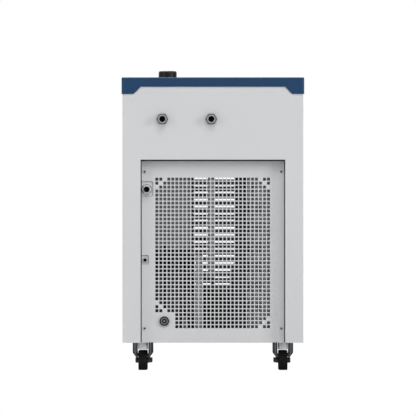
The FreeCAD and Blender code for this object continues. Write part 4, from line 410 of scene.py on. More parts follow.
def turned(name, base, axis, rings, sides=48, through=False, corner_up=False):
    """A round piece along an axis: a disc extruded and resized ring by ring.

    Each ring is its radius and its distance from the base, in millimetres. A piece that goes through has
    its two end discs taken out and their edges bridged to a bore.
    """
    radius, reach = rings[0]
    piece = primitive(bpy.ops.mesh.primitive_circle_add, name, vertices=sides, radius=radius * MM,
                      fill_type="NGON", location=(0, 0, reach * MM))
    apply_place(piece)
    with editing(piece, action="SELECT"):
        raised([(0, 0, reach, radius, radius) for radius, reach in rings])
        if through:
            pick(piece, lambda middle, normal: abs(normal.z) > 0.9 and middle.xy.length < 1e-6)
            bpy.ops.mesh.delete(type="ONLY_FACE")
            bpy.ops.mesh.select_mode(type="EDGE")
            bpy.ops.mesh.select_non_manifold()
            bpy.ops.mesh.bridge_edge_loops()
        facing_out()
    if corner_up:
        piece.data.transform(Matrix.Rotation(math.pi / 2, 4, "Z"))
    piece.rotation_euler = TURNS[axis]
    piece.location = Vector(base) * MM
    return apply_place(piece)


def lofted(name, sections):
    """A bar of rectangular sections going down Z, each its middle and its two sizes, in millimetres."""
    *middle, wide, deep = sections[0]
    piece = primitive(bpy.ops.mesh.primitive_plane_add, name, size=1, location=Vector(middle) * MM)
    piece.dimensions = (wide * MM, deep * MM, 0)
    apply_place(piece)
    with editing(piece, action="SELECT"):
        raised(sections)
        facing_out()
    return piece


def bar(name, low, high, bevel=0.0):
    """A bar between two corners, its edges broken by a bevel, all in millimetres."""
    low, high = Vector(low) * MM, Vector(high) * MM
    piece = primitive(bpy.ops.mesh.primitive_cube_add, name, size=1, location=(low + high) / 2)
    piece.dimensions = high - low
    apply_place(piece)
    return bevelled(piece, bevel) if bevel else piece


def finish(piece, look, *stands_for, body="case", slot=None, crease=35):
    """Gives a piece its shading, material and body, and hides the nodes that it stands for; its slot is not
    used.

    Weighted normals keep large flat faces flat where they run into a small fold or chamfer.
    """
    alone(piece)
    bpy.ops.object.shade_smooth_by_angle(angle=math.radians(crease))
    apply_modifier(piece, "WEIGHTED_NORMAL", keep_sharp=True, weight=100)
    piece.data.materials.clear()
    piece.data.materials.append(bpy.data.materials[look])
    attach(piece, body)
    if stands_for:
        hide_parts(*stands_for)


def smoothed(look, node_name, name=None, body="case", crease=35):
    """Puts a clean copy in a construction node's place: triangles merged and the stored normals dropped."""
    piece = bpy.data.objects.new("copy", NODES[node_name].data.copy())
    bpy.context.scene.collection.objects.link(named(piece, name or node_name + "_smooth"))
    with editing(piece, "VERT", "SELECT"):
        bpy.ops.mesh.remove_doubles(threshold=0.002 * MM)
    bpy.ops.mesh.customdata_custom_splitnormals_clear()
    finish(piece, look, node_name, body=body, crease=crease)


def dress(look, *names):
    """Gives construction nodes their material."""
    for name in names:
        if not NODES[name].material_slots:
            NODES[name].data.materials.append(bpy.data.materials[look])
        for place in NODES[name].material_slots:
            place.material = bpy.data.materials[look]


class CHILLER_OT_materials(bpy.types.Operator):
    """Makes the finishes that the parts share."""
    bl_idname = "chiller.materials"
    bl_label = "Materials"

    def execute(self, context):
        case = context.scene.chiller_case
        dull = {"Specular IOR Level": 0.3}
        # Powder-coated sheet: dust baked to an even satin skin with an orange peel about 1.5 mm across.
        # Inside the case it is painted dark grey as painted shade, where little light gets in.
        inner_shade = (inside_box(INNER_LOW, INNER_HIGH), "#2E2F30", {})
        for name, colour, gloss, painted_shade in (("powder_coat_grey", case.grey, 0.42, None),
                                           ("powder_coat_shaded_inside", case.grey, 0.42, inner_shade),
                                           ("powder_coat_blue", case.blue, 0.36, None)):
            surface(name, colour, (gloss - 0.05, gloss + 0.05), (180, 2), 0.955, (1.5, 3), 0.03, 0.6,
                    fine_gloss=True, painted_shade=painted_shade, **dull)
        # Hot-dip galvanised sheet: the zinc freezes in crystals about 9 mm across, each with its own tone.
        surface("galvanised_sheet", "#A9ACAE", (0.34, 0.5), pattern("Voronoi", 9, "Color"), 0.8, (0.8, 2),
                0.02, Metallic=0.9)
        # Zinc-plated pressed steel: a thin metal skin that shows faint rolling and dulls in patches.
        # The dark and the light copies also paint shade and highlight on the casters' forks.
        for name, code in (("zinc_plate", "#8F9193"), ("dark_zinc_plate", "#5D5F61"),
                           ("nut_zinc", "#8B8D8F")):
            surface(name, code, (0.26, 0.46), (14, 4), 0.72, (0.6, 2), 0.015, Metallic=1.0)
        # Satin zinc-plated screw heads, whose hexagonal sockets are painted black as painted shade in the
        # recess.
        low, high = box("grille_screws")
        heads = [Vector((x, 0, z)) for x in (low.x + SCREW_HEAD, high.x - SCREW_HEAD)
                 for z in (low.z + SCREW_HEAD, high.z - SCREW_HEAD)]
        surface("socket_steel", "#C9CBCD", 0.4, (3, 2), 0.85, None, 0.01, 0.4,
                painted_shade=(round_axes(heads, 2.35), "#101010", {"Metallic": (0.5, 0.0)}))
        # Nickel-plated turned brass: silver with the lathe tool's rings, drawn 2.5 mm apart so that they
        # show, and the bore painted black as painted shade down the tube.
        for port, (_, bore, *_) in PORTS.items():
            surface("nickel_" + port, "#D2D2CF", (0.2, 0.36), (7, 3), 0.8,
                    pattern("Wave", 8, settings={"bands_direction": "Y"}, Distortion=0.4), 0.01,
                    painted_shade=(round_axes([centre(port)], bore * 1.02), "#060606",
                           {"Metallic": (0.8, 0.0), "Specular IOR Level": (0.5, 0.1)}))
        # Stainless sheet brushed along its length: streaks 0.4 mm high and some 40 mm long.
        surface("brushed_stainless", "#868889", (0.24, 0.42),
                pattern("Noise", 0.4, mapped={"Scale": (0.01, 0.01, 1)}, Detail=2), 0.85, None, 0.01, 0.6,
                Metallic=1.0)
        # Bare rolled fin stock: bright thin aluminium, faintly streaked along the rolls.
        surface("fin_aluminium", "#BEC1C3", (0.28, 0.5),
                pattern("Noise", 1, mapped={"Scale": (1, 1, 1 / 30)}, Detail=3), 0.65, None, 0.02, 0.4,
                Metallic=1.0)
        # Soft drawn copper pipe long in use: brown-grey tarnish in drifts, a little metal left in it.
        surface("drawn_copper", "#6E625C", (0.24, 0.5), (22, 5), 0.45, (0.7, 2), 0.01, 0.4, Metallic=1.0)
        # Stoved enamel on a drawn or cast body: it flows out smooth, with slow waves 6 mm across.
        for name, code, gloss in (("black_enamel", "#0C0D0D", 0.3), ("motor_enamel", "#3C4650", 0.4),
                                  ("line_enamel", "#5A5C5E", 0.4)):
            surface(name, code, gloss, (35, 4), 0.6, (6, 1), 0.06, lighter=1.3, **{"Coat Weight": 0.25})
        # Moulded ABS, nylon and silicone with an eroded grain of 0.5 mm; the drain's plug is painted dark
        # between its middle and its rim as painted shade in its groove.
        groove_shade = (round_axes([centre("drain_plug")], 6.2, 2.5), "#1E1F20", {})
        for name, colour, gloss, painted_shade in (
                ("moulded_abs_black", case.black, 0.42, None), ("moulded_abs_grey", "#6B6E71", 0.42, None),
                ("moulded_abs_light", "#B9BBBD", 0.42, None), ("moulded_abs_white", "#F2F2F3", 0.42, None),
                ("drain_plug_abs", "#84878A", 0.42, groove_shade), ("nylon_dark", "#2B2C2E", 0.5, None),
                ("key_silicone", "#9AA0A8", 0.55, None)):
            surface(name, colour, (gloss - 0.06, gloss + 0.08), (25, 3), 0.85, (0.5, 2), 0.03, painted_shade=painted_shade,
                    **dull)
        # Filled rubber, black or grey: matt, with a bloom of dust in its grain of 1 mm.
        for name, code in (("tread_rubber", "#0C0C0C"), ("seal_rubber", "#141414"),
                           ("trim_rubber", "#48494A")):
            surface(name, code, 0.72, (10, 5), 0.45, (1, 3), 0.05, lighter=1.7,
                    **{"Specular IOR Level": 0.2})
        # Black open-cell filter foam, its cells about 1.2 mm across.
        surface("filter_foam", "#0A0A0A", 0.9, pattern("Voronoi", 1.2, "Distance"), 0.3, None, 0.4, 0.8,
                lighter=2)
        # Grey EPDM-lined hose: a soft skin over braid, whose threads print through as a lattice.
        surface("braided_hose", "#8C8E90", 0.5, braid, 0.88, None, 0.12)
        # Smoked acrylic pane over an unlit display: nearly black, glossy, with a few hairline scuffs.
        surface("smoked_acrylic", "#0B0D10", (0.05, 0.16), (4, 6), 0.5, None, 0.004, 0.3, lighter=1.6,
                **{"Coat Weight": 0.4})
        # Glass-fibre board under green lacquer, with copper tracks 2.5 mm apart that show as lighter green.
        tracks = pattern("Brick", 20, mapped={"Rotation": (math.pi / 2, 0, 0)},
                         **{"Mortar Size": 0.02, "Brick Width": 1.0, "Row Height": 0.125})
        surface("circuit_board", "#2F7A4A", 0.3, tracks, 0.45, None, 0.03, 0.4)
        return {"FINISHED"}


class CHILLER_OT_case(bpy.types.Operator):
    """Paints the case sheets, smooths the folded ones and lays foam behind the lower front slots."""
    bl_idname = "chiller.case"
    bl_label = "Case"

    def execute(self, context):
        # The inner faces of these sheets are painted dark grey as painted shade.
        dress("powder_coat_shaded_inside", "front_panel", "side_panel_left", "side_panel_right", "base_pan")
        dress("galvanised_sheet", "electrical_box")
        smoothed("powder_coat_grey", "rear_surround", "rear_sheet")
        smoothed("powder_coat_blue", "top_cover", "lid")
        inside = box("front_panel")[0].y + SHEET + 0.1
        foam = [bar("foam", (x0, inside, 100), (x1, inside + 5, z1), 1)
                for x0, x1, z1 in ((-66, 45, 206), (45.2, 140, 300))]
        finish(joined("slot_foam", *foam), "filter_foam")
        return {"FINISHED"}


# The holes that the panel hasn't got, by row and column: at its corners, and where the drain sits.
BLANK_HOLES = {(0, 2), (1, 1), (2, 0), (0, 26), (1, 27), (2, 28), (31, 0), (32, 1), (33, 2), (35, 28),
               (36, 27), (37, 26)}
DRAIN_COLUMNS = 5
LAST_ROW_OVER_DRAIN = 33


def rounded_block(low, high, radius):
    """A block over the rear panel with its two inner corners rounded; Y is counted from the panel's face."""
    face = Vector((0, GRILLE_Y, 0))
    return rounded(bar("block", Vector(low) + face, Vector(high) + face), radius, lambda one, other:
                   max(one.x, other.x) < (low[0] + 1) * MM and abs(one.y - other.y) > MM)


class CHILLER_OT_grille(bpy.types.Operator):
    """Punches the rear panel from a grid of squares, cuts it to size, notches it, and lays black foam strips
    in its recess as painted shade.
    """
    bl_idname = "chiller.grille"
    bl_label = "Perforated panel"

    def execute(self, context):
        grille = context.scene.chiller_grille
        pitch, hole, first_x, first_z = [length / MM for length in (
            grille.pitch, grille.hole, grille.first_x, grille.first_z)]
        left, right, above, below = [math.ceil(reach / pitch - 0.5) for reach in (
            GRILLE_HIGH.x - first_x, first_x - GRILLE_LOW.x,
            GRILLE_HIGH.z - first_z, first_z - GRILLE_LOW.z)]
        across, upward = left + right + 1, above + below + 1
        middle = Vector((first_x + (left - right) / 2 * pitch, (GRILLE_LOW.y + GRILLE_Y) / 2,
                         first_z + (above - below) / 2 * pitch))
        sheet = primitive(bpy.ops.mesh.primitive_grid_add, "perforated_panel", x_subdivisions=across,
                          y_subdivisions=upward, size=1, location=middle * MM, rotation=(-math.pi / 2, 0, 0))
        sheet.scale = (across * pitch * MM, upward * pitch * MM, 1)
        apply_place(sheet)

        def punched(place, normal):
            column, row = round((first_x - place.x / MM) / pitch), round((first_z - place.z / MM) / pitch)
            inside = 0 <= column < grille.columns and 0 <= row < grille.rows
            over_drain = column < DRAIN_COLUMNS and row > LAST_ROW_OVER_DRAIN
            return inside and not over_drain and (row, column) not in BLANK_HOLES

        with editing(sheet):
            pick(sheet, punched)
            bpy.ops.mesh.inset(thickness=(pitch - hole) / 2 * MM, use_individual=True)
            bpy.ops.mesh.delete(type="FACE")
            for corner, normal in ((GRILLE_LOW, (-1, 0, 0)), (GRILLE_HIGH, (1, 0, 0)),
                                   (GRILLE_LOW, (0, 0, -1)), (GRILLE_HIGH, (0, 0, 1))):
                bpy.ops.mesh.select_all(action="SELECT")
                bpy.ops.mesh.bisect(plane_co=corner * MM, plane_no=normal, clear_outer=True)
        apply_modifier(sheet, "SOLIDIFY", thickness=(GRILLE_Y - GRILLE_LOW.y) * MM, offset=0)
        self.notch(sheet)
        finish(sheet, "powder_coat_grey", "rear_grille", crease=20)
        self.seal()
        return {"FINISHED"}

    def notch(self, sheet):
        """Cuts the two notches into the panel and edges them with dark rubber, a painted shadow line along
        each cut.
        """
        overflow, gland = centre("overflow_port").z, centre("cable_gland").z
        shadow_trims = []
        for left, low, high, radius in ((149, overflow - 17, overflow + 20, 3.5),
                                        (160.1, gland - 10.5, gland + 12, 2.2)):
            combined(sheet, rounded_block((left, -5, low), (200, 5, high), radius))
            shadow_trim = rounded_block((left + CLEAR, -1.4, low + CLEAR), (GRILLE_HIGH.x, 0.3, high - CLEAR),
                                 radius)
            hollow = rounded_block((left + 0.9, -5, low + 0.5), (200, 5, high - 1), radius - 1)
            shadow_trims.append(combined(shadow_trim, hollow))
        finish(joined("notch_shadow_trims", *shadow_trims), "trim_rubber")

    def seal(self):
        """Black foam strips beside and over the panel, and a lip under the top of the recess: painted shade
        lines at the recess's edges and painted shade under its top.
        """
        back, edge, top = GRILLE_LOW.y + CLEAR, RECESS_HALF - 0.05, RECESS_TOP - 0.05
        side = GRILLE_HIGH.x
        strips = [bar("strip", low, high, 0.3) for low, high in (
            ((-edge, back, GRILLE_LOW.z), (-side, GRILLE_Y - 0.3, GRILLE_HIGH.z)),
            ((side, back, GRILLE_LOW.z), (edge, GRILLE_Y - 0.3, GRILLE_HIGH.z)),
            ((-edge, back, GRILLE_HIGH.z + 0.05), (edge, GRILLE_Y + 3, top)),
            ((-edge, GRILLE_Y + 0.05, GRILLE_HIGH.z - 0.7), (edge, GRILLE_Y + 26, top)))]
        finish(joined("panel_shade_strips", *strips), "filter_foam")


class CHILLER_OT_panel_screws(bpy.types.Operator):
    """Turns the four cheese-head screws of the perforated panel, each with a hexagonal socket."""
    bl_idname = "chiller.panel_screws"
    bl_label = "Panel screws"

    def execute(self, context):
        low, high = box("grille_screws")
        first = Vector((high.x - SCREW_HEAD, GRILLE_Y, high.z - SCREW_HEAD))
        screw = turned("panel_screw", first, "+Y", [(2, -8), (2, CLEAR), (3.9, CLEAR), (4, 0.3), (4, 1.6),
                                                    (3.6, 2.1), (3.2, 2.2)], 32)
        combined(screw, turned("socket", first, "+Y", [(2.3, 0.9), (2.3, 3)], 6, corner_up=True))
        wide, tall = high.x - low.x - 2 * SCREW_HEAD, high.z - low.z - 2 * SCREW_HEAD
        screws = repeated(screw, [(-x, 0, -z) for x in (0, wide) for z in (0, tall)])
        finish(joined("panel_screws", *screws), "socket_steel", "grille_screws")
        return {"FINISHED"}


def hexagonal_nut(name, base, flats, thickness, bore):
    """A nut along +Y: a chamfered barrel with its bore, crossed with a hexagonal bar."""
    corner = flats / math.sqrt(3)
    nut = turned(name, base, "+Y", [
        (bore, CLEAR), (corner * 0.88, CLEAR), (corner * 0.96, 1.2), (corner * 0.96, thickness - 1.4),
        (corner * 0.86, thickness), (bore + 0.6, thickness), (bore, thickness - 0.6)], through=True)
    prism = turned("prism", base, "+Y", [(corner, -1), (corner, thickness + 1)], 6, corner_up=True)
    return combined(nut, prism, "INTERSECT")


class CHILLER_OT_ports(bpy.types.Operator):
    """Turns the two water ports and the overflow port with their threads, and their nuts."""
    bl_idname = "chiller.ports"
    bl_label = "Water ports"

    def execute(self, context):
        settings = context.scene.chiller_ports
        water_ports = {name: centre(name, REAR_Y) for name in ("supply_port", "return_port")}
        overflow = {"overflow_port": centre("overflow_port", GRILLE_LOW.y)}
        for ports, tube in ((water_ports, WATER_TUBE), (overflow, OVERFLOW_TUBE)):
            for name, port in zip(ports, repeated(self.port(settings, *tube), ports.values())):
                finish(named(port, name + "_threaded"), "nickel_" + name, name)
        nut = hexagonal_nut("nut", (0, 0, 0), settings.nut_flats / MM, 8, 10.5)
        finish(joined("port_nuts_chamfered", *repeated(nut, water_ports.values())), "nut_zinc", "port_nuts")
        base = overflow["overflow_port"]
        # A black rubber washer behind the overflow nut; its dark ring is also a painted shadow round the
        # nut.
        rings = [(8.35, CLEAR), (12.2, CLEAR), (12.4, 0.2), (12.4, 0.6), (12.2, 0.8), (8.35, 0.8)]
        finish(turned("overflow_washer_shade", base, "+Y", rings, through=True), "trim_rubber")
        nut = hexagonal_nut("overflow_nut", base, settings.small_nut_flats / MM, 6.1, 8.35)
        finish(moved(nut, (0, 0.85, 0)), "moulded_abs_white")
        return {"FINISHED"}

    def port(self, settings, radius, bore, reach, nut, collar, stub, stub_length):
        """A bulkhead tube along +Y: hose stub, collar, nut seat, thread and a blind bore."""
        pitch, root = settings.thread_pitch / MM, radius - settings.thread_depth / MM
        rings = [(stub, TUBE_BACK - stub_length), (stub, TUBE_BACK), (collar, TUBE_BACK),
                 (collar, BEHIND_SHEET), (radius, BEHIND_SHEET), (radius, nut), (root, nut + 0.05),
                 (root, nut + 1.4), (radius, nut + 1.8)]
        turn = nut + 1.8
        while turn + pitch < reach - 0.8:
            rings += [(root, turn + pitch / 2), (radius, turn + pitch * 0.9), (radius, turn + pitch)]
            turn += pitch
        rings += [(root, reach), (bore + 0.5, reach), (bore, reach - 0.5), (bore, TUBE_BACK)]
        return turned("port", (0, 0, 0), "+Y", rings)


class CHILLER_OT_inlet(bpy.types.Operator):
    """Turns the small open cable inlet in its notch."""
    bl_idname = "chiller.inlet"
    bl_label = "Cable inlet"

    def execute(self, context):
        base = centre("cable_gland", GRILLE_LOW.y)
        rings = [(4.2, -8.5), (5, -8.5), (5, -4), (6.4, -4), (6.4, BEHIND_SHEET), (5, BEHIND_SHEET),
                 (5, CLEAR), (7, CLEAR), (7, 1.4), (6.6, 2.2), (5.8, 2.5), (4.2, 2.5)]
        finish(turned("cable_inlet", base, "+Y", rings, 40, through=True), "moulded_abs_light",
               "cable_gland")
        # A black rubber bush lines the inlet's bore; its black is also painted shade in the hole.
        rings = [(3.2, -8.4), (4.18, -8.4), (4.18, 2.3), (3.9, 2.4), (3.4, 2.2), (3.2, 1.8)]
        finish(turned("cable_bush_shade", base, "+Y", rings, 40, through=True), "seal_rubber")
        return {"FINISHED"}


def knurled(piece, base, up, radius, grooves, share, depth, low, high):
    """Sinks a share of the side faces of a round piece, groove by groove, so that ribs are left.

    The piece's axis is coordinate number up, and all lengths are in millimetres.
    """
    def grooved(middle, normal):
        offset = middle / MM - base
        across = [offset[index] for index in range(3) if index != up]
        if abs(normal[up]) > 0.2 or math.hypot(*across) < radius * 0.97 or not low <= offset[up] <= high:
            return False
        step = (math.atan2(across[1], across[0]) % math.tau) / math.tau * grooves
        return step % 1.0 < share
    with editing(piece):
        pick(piece, grooved)
        bpy.ops.mesh.extrude_region_shrink_fatten(TRANSFORM_OT_shrink_fatten={"value": -depth * MM})


class CHILLER_OT_drain(bpy.types.Operator):
    """Turns the ribbed drain rim and the plug in it."""
    bl_idname = "chiller.drain"
    bl_label = "Drain"

    def execute(self, context):
        base = centre("drain_plug", GRILLE_Y)
        back = box("drain_fitting")[0].y - GRILLE_Y
        rings = [(6, back), (6, -13), (10, -13), (10, CLEAR), (12, CLEAR), (12, 1), (12, 6.2), (11.3, 7),
                 (9.3, 7), (8.6, 6.4), (8.6, -11)]
        rim = turned("drain_rim", base, "+Y", rings, 72)
        knurled(rim, base, 1, 12, 12, 0.34, 1, 0.5, 6.6)
        finish(rim, "moulded_abs_black", "drain_fitting")
        face = box("drain_plug")[1].y - GRILLE_Y
        rings = [(8.5, face - 10), (8.5, face - 0.6), (7.9, face), (6.9, face), (6.2, face - 0.7),
                 (6.2, face - 6), (2.5, face - 6), (2.5, face - 1.2), (1.8, face - 0.6)]
        finish(turned("drain_plug_turned", base, "+Y", rings), "drain_plug_abs", "drain_plug", body="plug")
        return {"FINISHED"}


class CHILLER_OT_filler(bpy.types.Operator):
    """Turns the ribbed filler cap and dresses the neck and seal under it."""
    bl_idname = "chiller.filler"
    bl_label = "Filler"

    def execute(self, context):
        low, high = box("filler_cap")
        base = Vector(((low.x + high.x) / 2, (low.y + high.y) / 2, low.z))
        tall = high.z - low.z
        rings = [(18.3, box("cap_seal")[1].z - low.z), (18.3, 0), (21.6, 0), (22.5, 0.8), (22.5, tall - 4.4),
                 (22.1, tall - 2.6), (21, tall - 1.2), (19, tall - 0.4), (14, tall - 0.1), (7, tall)]
        cap = turned("ribbed_cap", base, "+Z", rings, 96)
        knurled(cap, base, 2, 22.5, 24, 0.5, 0.9, 1, tall - 4.5)
        finish(cap, "moulded_abs_black", "filler_cap", body="cap")
        dress("seal_rubber", "cap_seal")
        smoothed("brushed_stainless", "filler_neck", "neck")
        return {"FINISHED"}


# Each row is a height, how far the leg reaches out, and where its front and back edges are.
FORK_OUTLINE = [
    (73.2, 25, -17.5, 17.5), (68, 25, -20.4, 14.1), (60, 25, -23.5, 8.9), (52, 25, -26.6, 3.7),
    (44, 25, -29, -1.5), (41, 23.2, -29, -3.4), (38, 20.9, -29, -5.4), (35.5, 18.8, -29, -7),
    (33, 17.3, -29, -8.8), (29, 17, -29, -11.9), (25, 17, -29, -15), (21, 17, -27.7, -16.3),
    (19, 17, -25.6, -18.4), (18.2, 17, -23.7, -20.3)]
FLANGED_ROWS = 9
WHEEL_GAP = 12.7


class CHILLER_OT_casters(bpy.types.Operator):
    """Models one caster's fork, wheel, axle and plate, and copies them to the four corners."""
    bl_idname = "chiller.casters"
    bl_label = "Casters"

    def execute(self, context):
        places = {corner: Vector((centre("caster_fork_" + corner).x,
                                  centre("caster_axle_" + corner).y + TRAIL, 0)) for corner in CORNERS}
        fork, beads = self.fork(context.scene.chiller_casters)
        tyre = self.wheel([(19, -10.4), (22, -11), (23.6, -10.6), (24.7, -9.6), (25, -8)])
        hub = self.wheel([(4.05, -14), (6.2, -14), (7, -13.2), (7, -12), (7.8, -8.5), (10, -7.2),
                          (15.5, -7.2), (17.2, -8.6), (18, -10.3), (19.1, -10.3)])
        right, left = CORNERS[::2], CORNERS[1::2]
        # The forks' dark zinc is painted shade at the edges of their flanges, and the lighter zinc of the
        # raised strips a painted highlight down their middles.
        for model, corners, name, look, body, replaced in (
                (fork, CORNERS, "fork_", "dark_zinc_plate", "fork_", "caster_fork_"),
                (beads, CORNERS, "highlight_beads_", "zinc_plate", "fork_", None),
                (tyre, CORNERS, "tyre_", "tread_rubber", "wheel_", "caster_wheel_"),
                (hub, CORNERS, "hub_", "nylon_dark", "wheel_", None),
                (self.axle("+X"), right, "axle_", "dark_zinc_plate", "fork_", "caster_axle_"),
                (self.axle("-X"), left, "axle_", "dark_zinc_plate", "fork_", "caster_axle_")):
            for corner, twin in zip(corners, repeated(model, [places[corner] for corner in corners])):
                nodes = [replaced + corner] if replaced else []
                finish(named(twin, name + corner), look, *nodes, body=body + corner)
        cup = turned("cup", (0, 0, 0), "+Z", [(10.4, 51.6), (11.3, 52.2), (11.5, 53.4), (11.5, 70.4),
                                              (6, 70.4), (6, 73.5)], 40)
        finish(joined("swivel_cups", *repeated(cup, places.values())), "moulded_abs_white")
        plates = repeated(self.plate(), places.values())
        finish(joined("top_plates", *plates), "zinc_plate", "caster_plates")
        return {"FINISHED"}

    def wheel(self, half):
        """A part of the wheel, turned round its axle from the rings of one half."""
        other_half = [(radius, -reach) for radius, reach in reversed(half)]
        return turned("wheel", (0, -TRAIL, AXLE_HEIGHT), "+X", half + other_half, 64, through=True)

    def fork(self, settings):
        """One pressed fork with a round-shouldered top and two flanged legs, and a raised strip down each
        flange for a painted highlight.
        """
        sheet, flange = settings.sheet / MM, settings.flange / MM
        parts, beads = [], []
        for side in (-1, 1):
            parts.append(lofted("web", [
                (side * (out - sheet / 2), (front + back) / 2, z, sheet, back - front)
                for z, out, front, back in FORK_OUTLINE]))
            for edge, outward in ((2, -1), (3, 1)):
                lip, highlight_bead = [], []
                for row in FORK_OUTLINE[:FLANGED_ROWS]:
                    z, out = row[:2]
                    width = min(flange, out - WHEEL_GAP)
                    middle = side * (out - width / 2)
                    lip.append((middle, row[edge] - outward * sheet / 2, z, width, sheet))
                    highlight_bead.append((middle, row[edge] + outward * 0.3, z - 0.5, width / 4, 1))
                parts.append(lofted("lip", lip))
                beads.append(lofted("highlight_bead", highlight_bead))
            parts.append(turned("boss", (side * 15.7, -TRAIL, AXLE_HEIGHT), "+X", [(7, -1.3), (7, 1.3)], 32))
        top = bar("top", (-25, -17.5, 70.7), (25, 17.5, 73.2), 0.9)
        parts.append(combined(top, turned("hole", (0, 0, 60), "+Z", [(6.08, 0), (6.08, 30)], 32)))
        return bevelled(joined("fork", *parts), 0.5), bevelled(joined("beads", *beads), 0.3)

    def plate(self):
        """The plate that holds a caster, with its ball race and four screw heads."""
        top = box("caster_plates")[1].z
        plate = rounded(bar("plate", (-30, -30, top - 2.5), (30, 30, top)), 6,
                        lambda one, other: abs(one.z - other.z) > MM)
        race = turned("race", (0, 0, 0), "+Z", [(15, 73.52), (15, 74)])
        head = turned("head", (0, 0, 0), "+Z", [(2.2, 72.6), (2.2, 73.45), (5.2, 73.45), (5.2, 73.6)], 24)
        heads = repeated(head, [(x, y, 0) for x in (-23, 23) for y in (-23, 23)])
        return joined("plate", plate, race, *heads)

    def axle(self, outward):
        """A bolt with its head on the outer side and a hexagonal nut on the inner one."""
        base = (0, -TRAIL, AXLE_HEIGHT)
        bolt = turned("bolt", base, outward, [(3.2, -23), (4, -22.2), (4, 17.02), (5.8, 17.02), (6, 17.4),
                                              (5.7, 18.2), (4.2, 18.5)], 32)
        nut = turned("nut", base, outward, [(4.02, -22.7), (6.1, -22.7), (6.9, -21.8), (6.9, -17.9),
                                            (6.1, -17.02), (4.02, -17.02)], 40, through=True)
        corner = 12 / math.sqrt(3)
        combined(nut, turned("prism", base, outward, [(corner, -24), (corner, -16)], 6), "INTERSECT")
        return joined("axle", bolt, nut)


class CHILLER_OT_condenser(bpy.types.Operator):
    """Models the condenser: thin fins on end plates, with its return bends, stubs, and black foam mats at
    its side and rear edge.
    """
    bl_idname = "chiller.condenser"
    bl_label = "Condenser"

    def execute(self, context):
        low, high = box("condenser")
        hood_low, hood_high = box("fan_shroud")
        front, rear = hood_low.y, hood_high.y
        middle, fin_pitch = (low.x + high.x) / 2, 3.2
        fin = bar("fin", (low.x + 3, front + 4, low.z + 6), (high.x - 3, front + 4.4, high.z - 6))
        apply_modifier(fin, "ARRAY", count=int((rear - front - 8) / fin_pitch) + 1,
                       use_relative_offset=False, use_constant_offset=True,
                       constant_offset_displace=(0, fin_pitch * MM, 0))
        edges = [bar("edge", *corners, 0.4) for corners in (
            ((low.x, rear - SHEET, low.z), (high.x, rear, high.z)),
            ((low.x, front, low.z), (high.x, front + SHEET, high.z)),
            ((low.x, front, high.z - SHEET), (high.x, rear, high.z)),
            ((low.x, front, low.z), (high.x, rear, low.z + SHEET)))]
        core = bar("core", (middle - 3, front + 1, low.z + 6), (middle + 3, rear - 1, high.z - 6))
        finish(joined("condenser_fins", fin, *edges, core), "fin_aluminium", "condenser", crease=20)
        self.bends(middle, front, rear, low, high, (hood_low.z + hood_high.z) / 2)
        edge_mats = [bar("mat", *corners, bevel) for *corners, bevel in (
            ((high.x + 0.5, front + 8, low.z + 4), (high.x + 19, rear - 30, high.z - 4), 2),
            ((high.x - 12, rear + 0.5, low.z + 4), (high.x + 20, rear + 3.5, high.z - 4), 1),
            ((high.x + 17, rear - 31, low.z + 4), (high.x + 20, rear + 1, high.z - 4), 1))]
        finish(joined("condenser_edge_mats", *edge_mats), "filter_foam")
        return {"FINISHED"}

    def bends(self, middle, front, rear, low, high, centre_z):
        """Half rings of tube on the rear end plate, in six rows of three, and the two stubs."""
        first = primitive(bpy.ops.mesh.primitive_torus_add, "bend", rotation=(0, math.pi / 2, 0),
                          major_radius=12 * MM, minor_radius=4 * MM, major_segments=24, minor_segments=12)
        apply_place(first)
        with editing(first, "VERT", "SELECT"):
            bpy.ops.mesh.bisect(plane_co=(0, -0.5 * MM, 0), plane_no=(0, -1, 0), clear_outer=True,
                                use_fill=True)
        column_pitch, row_pitch = 14, 48
        bends = repeated(first, [(middle + column * column_pitch, rear, centre_z + row * row_pitch)
                                 for row in (-2.5, -1.5, -0.5, 0.5, 1.5, 2.5) for column in (-1, 0, 1)])
        for y, axis, z in ((rear, "+Y", high.z - 28), (front, "-Y", low.z + 222)):
            bends.append(turned("stub", (middle, y, z), axis, [(5, -1), (5, 15)], 24))
        finish(joined("condenser_bends", *bends), "dark_zinc_plate")


class CHILLER_OT_compressor(bpy.types.Operator):
    """Turns the compressor's domed can and adds its feet, terminal cover and pipe stubs."""
    bl_idname = "chiller.compressor"
    bl_label = "Compressor"

    def execute(self, context):
        low, high = box("compressor")
        base = Vector((centre("compressor_mounts").x, (low.y + high.y) / 2, low.z))
        tall = high.z - low.z
        radius, crown = 70, 32
        dome = [(radius - crown * (1 - math.sin(turn)), crown * (1 - math.cos(turn)))
                for turn in (math.radians(degrees) for degrees in range(0, 91, 10))]
        seam = [(radius, 104), (72.4, 105), (73, 106.5), (73, 109.5), (72.4, 111), (radius, 112)]
        upper = [(across, tall - up) for across, up in reversed(dome)]
        parts = [turned("can", base, "+Z", dome + seam + upper, 64)]
        for turn in (45, 135):
            foot = bar("foot", (-104, -11, 0), (104, 11, 3), 1.2)
            foot.rotation_euler = (0, 0, math.radians(turn))
            foot.location = base * MM
            parts.append(apply_place(foot))
        parts.append(bar("cover", (low.x, base.y - 22, base.z + 47),
                         (low.x + 24, base.y + 22, base.z + 97), 3))
        for across, axis, height in ((58, "-Y", 140), (-58, "+Y", 42)):
            parts.append(turned("stub", base + Vector((across, 0, height)), axis,
                                [(5, 30), (5, 89), (4.6, 90)], 24))
        finish(joined("compressor_can", *parts), "black_enamel", "compressor")
        smoothed("seal_rubber", "compressor_mounts", "rubber_mounts")
        return {"FINISHED"}


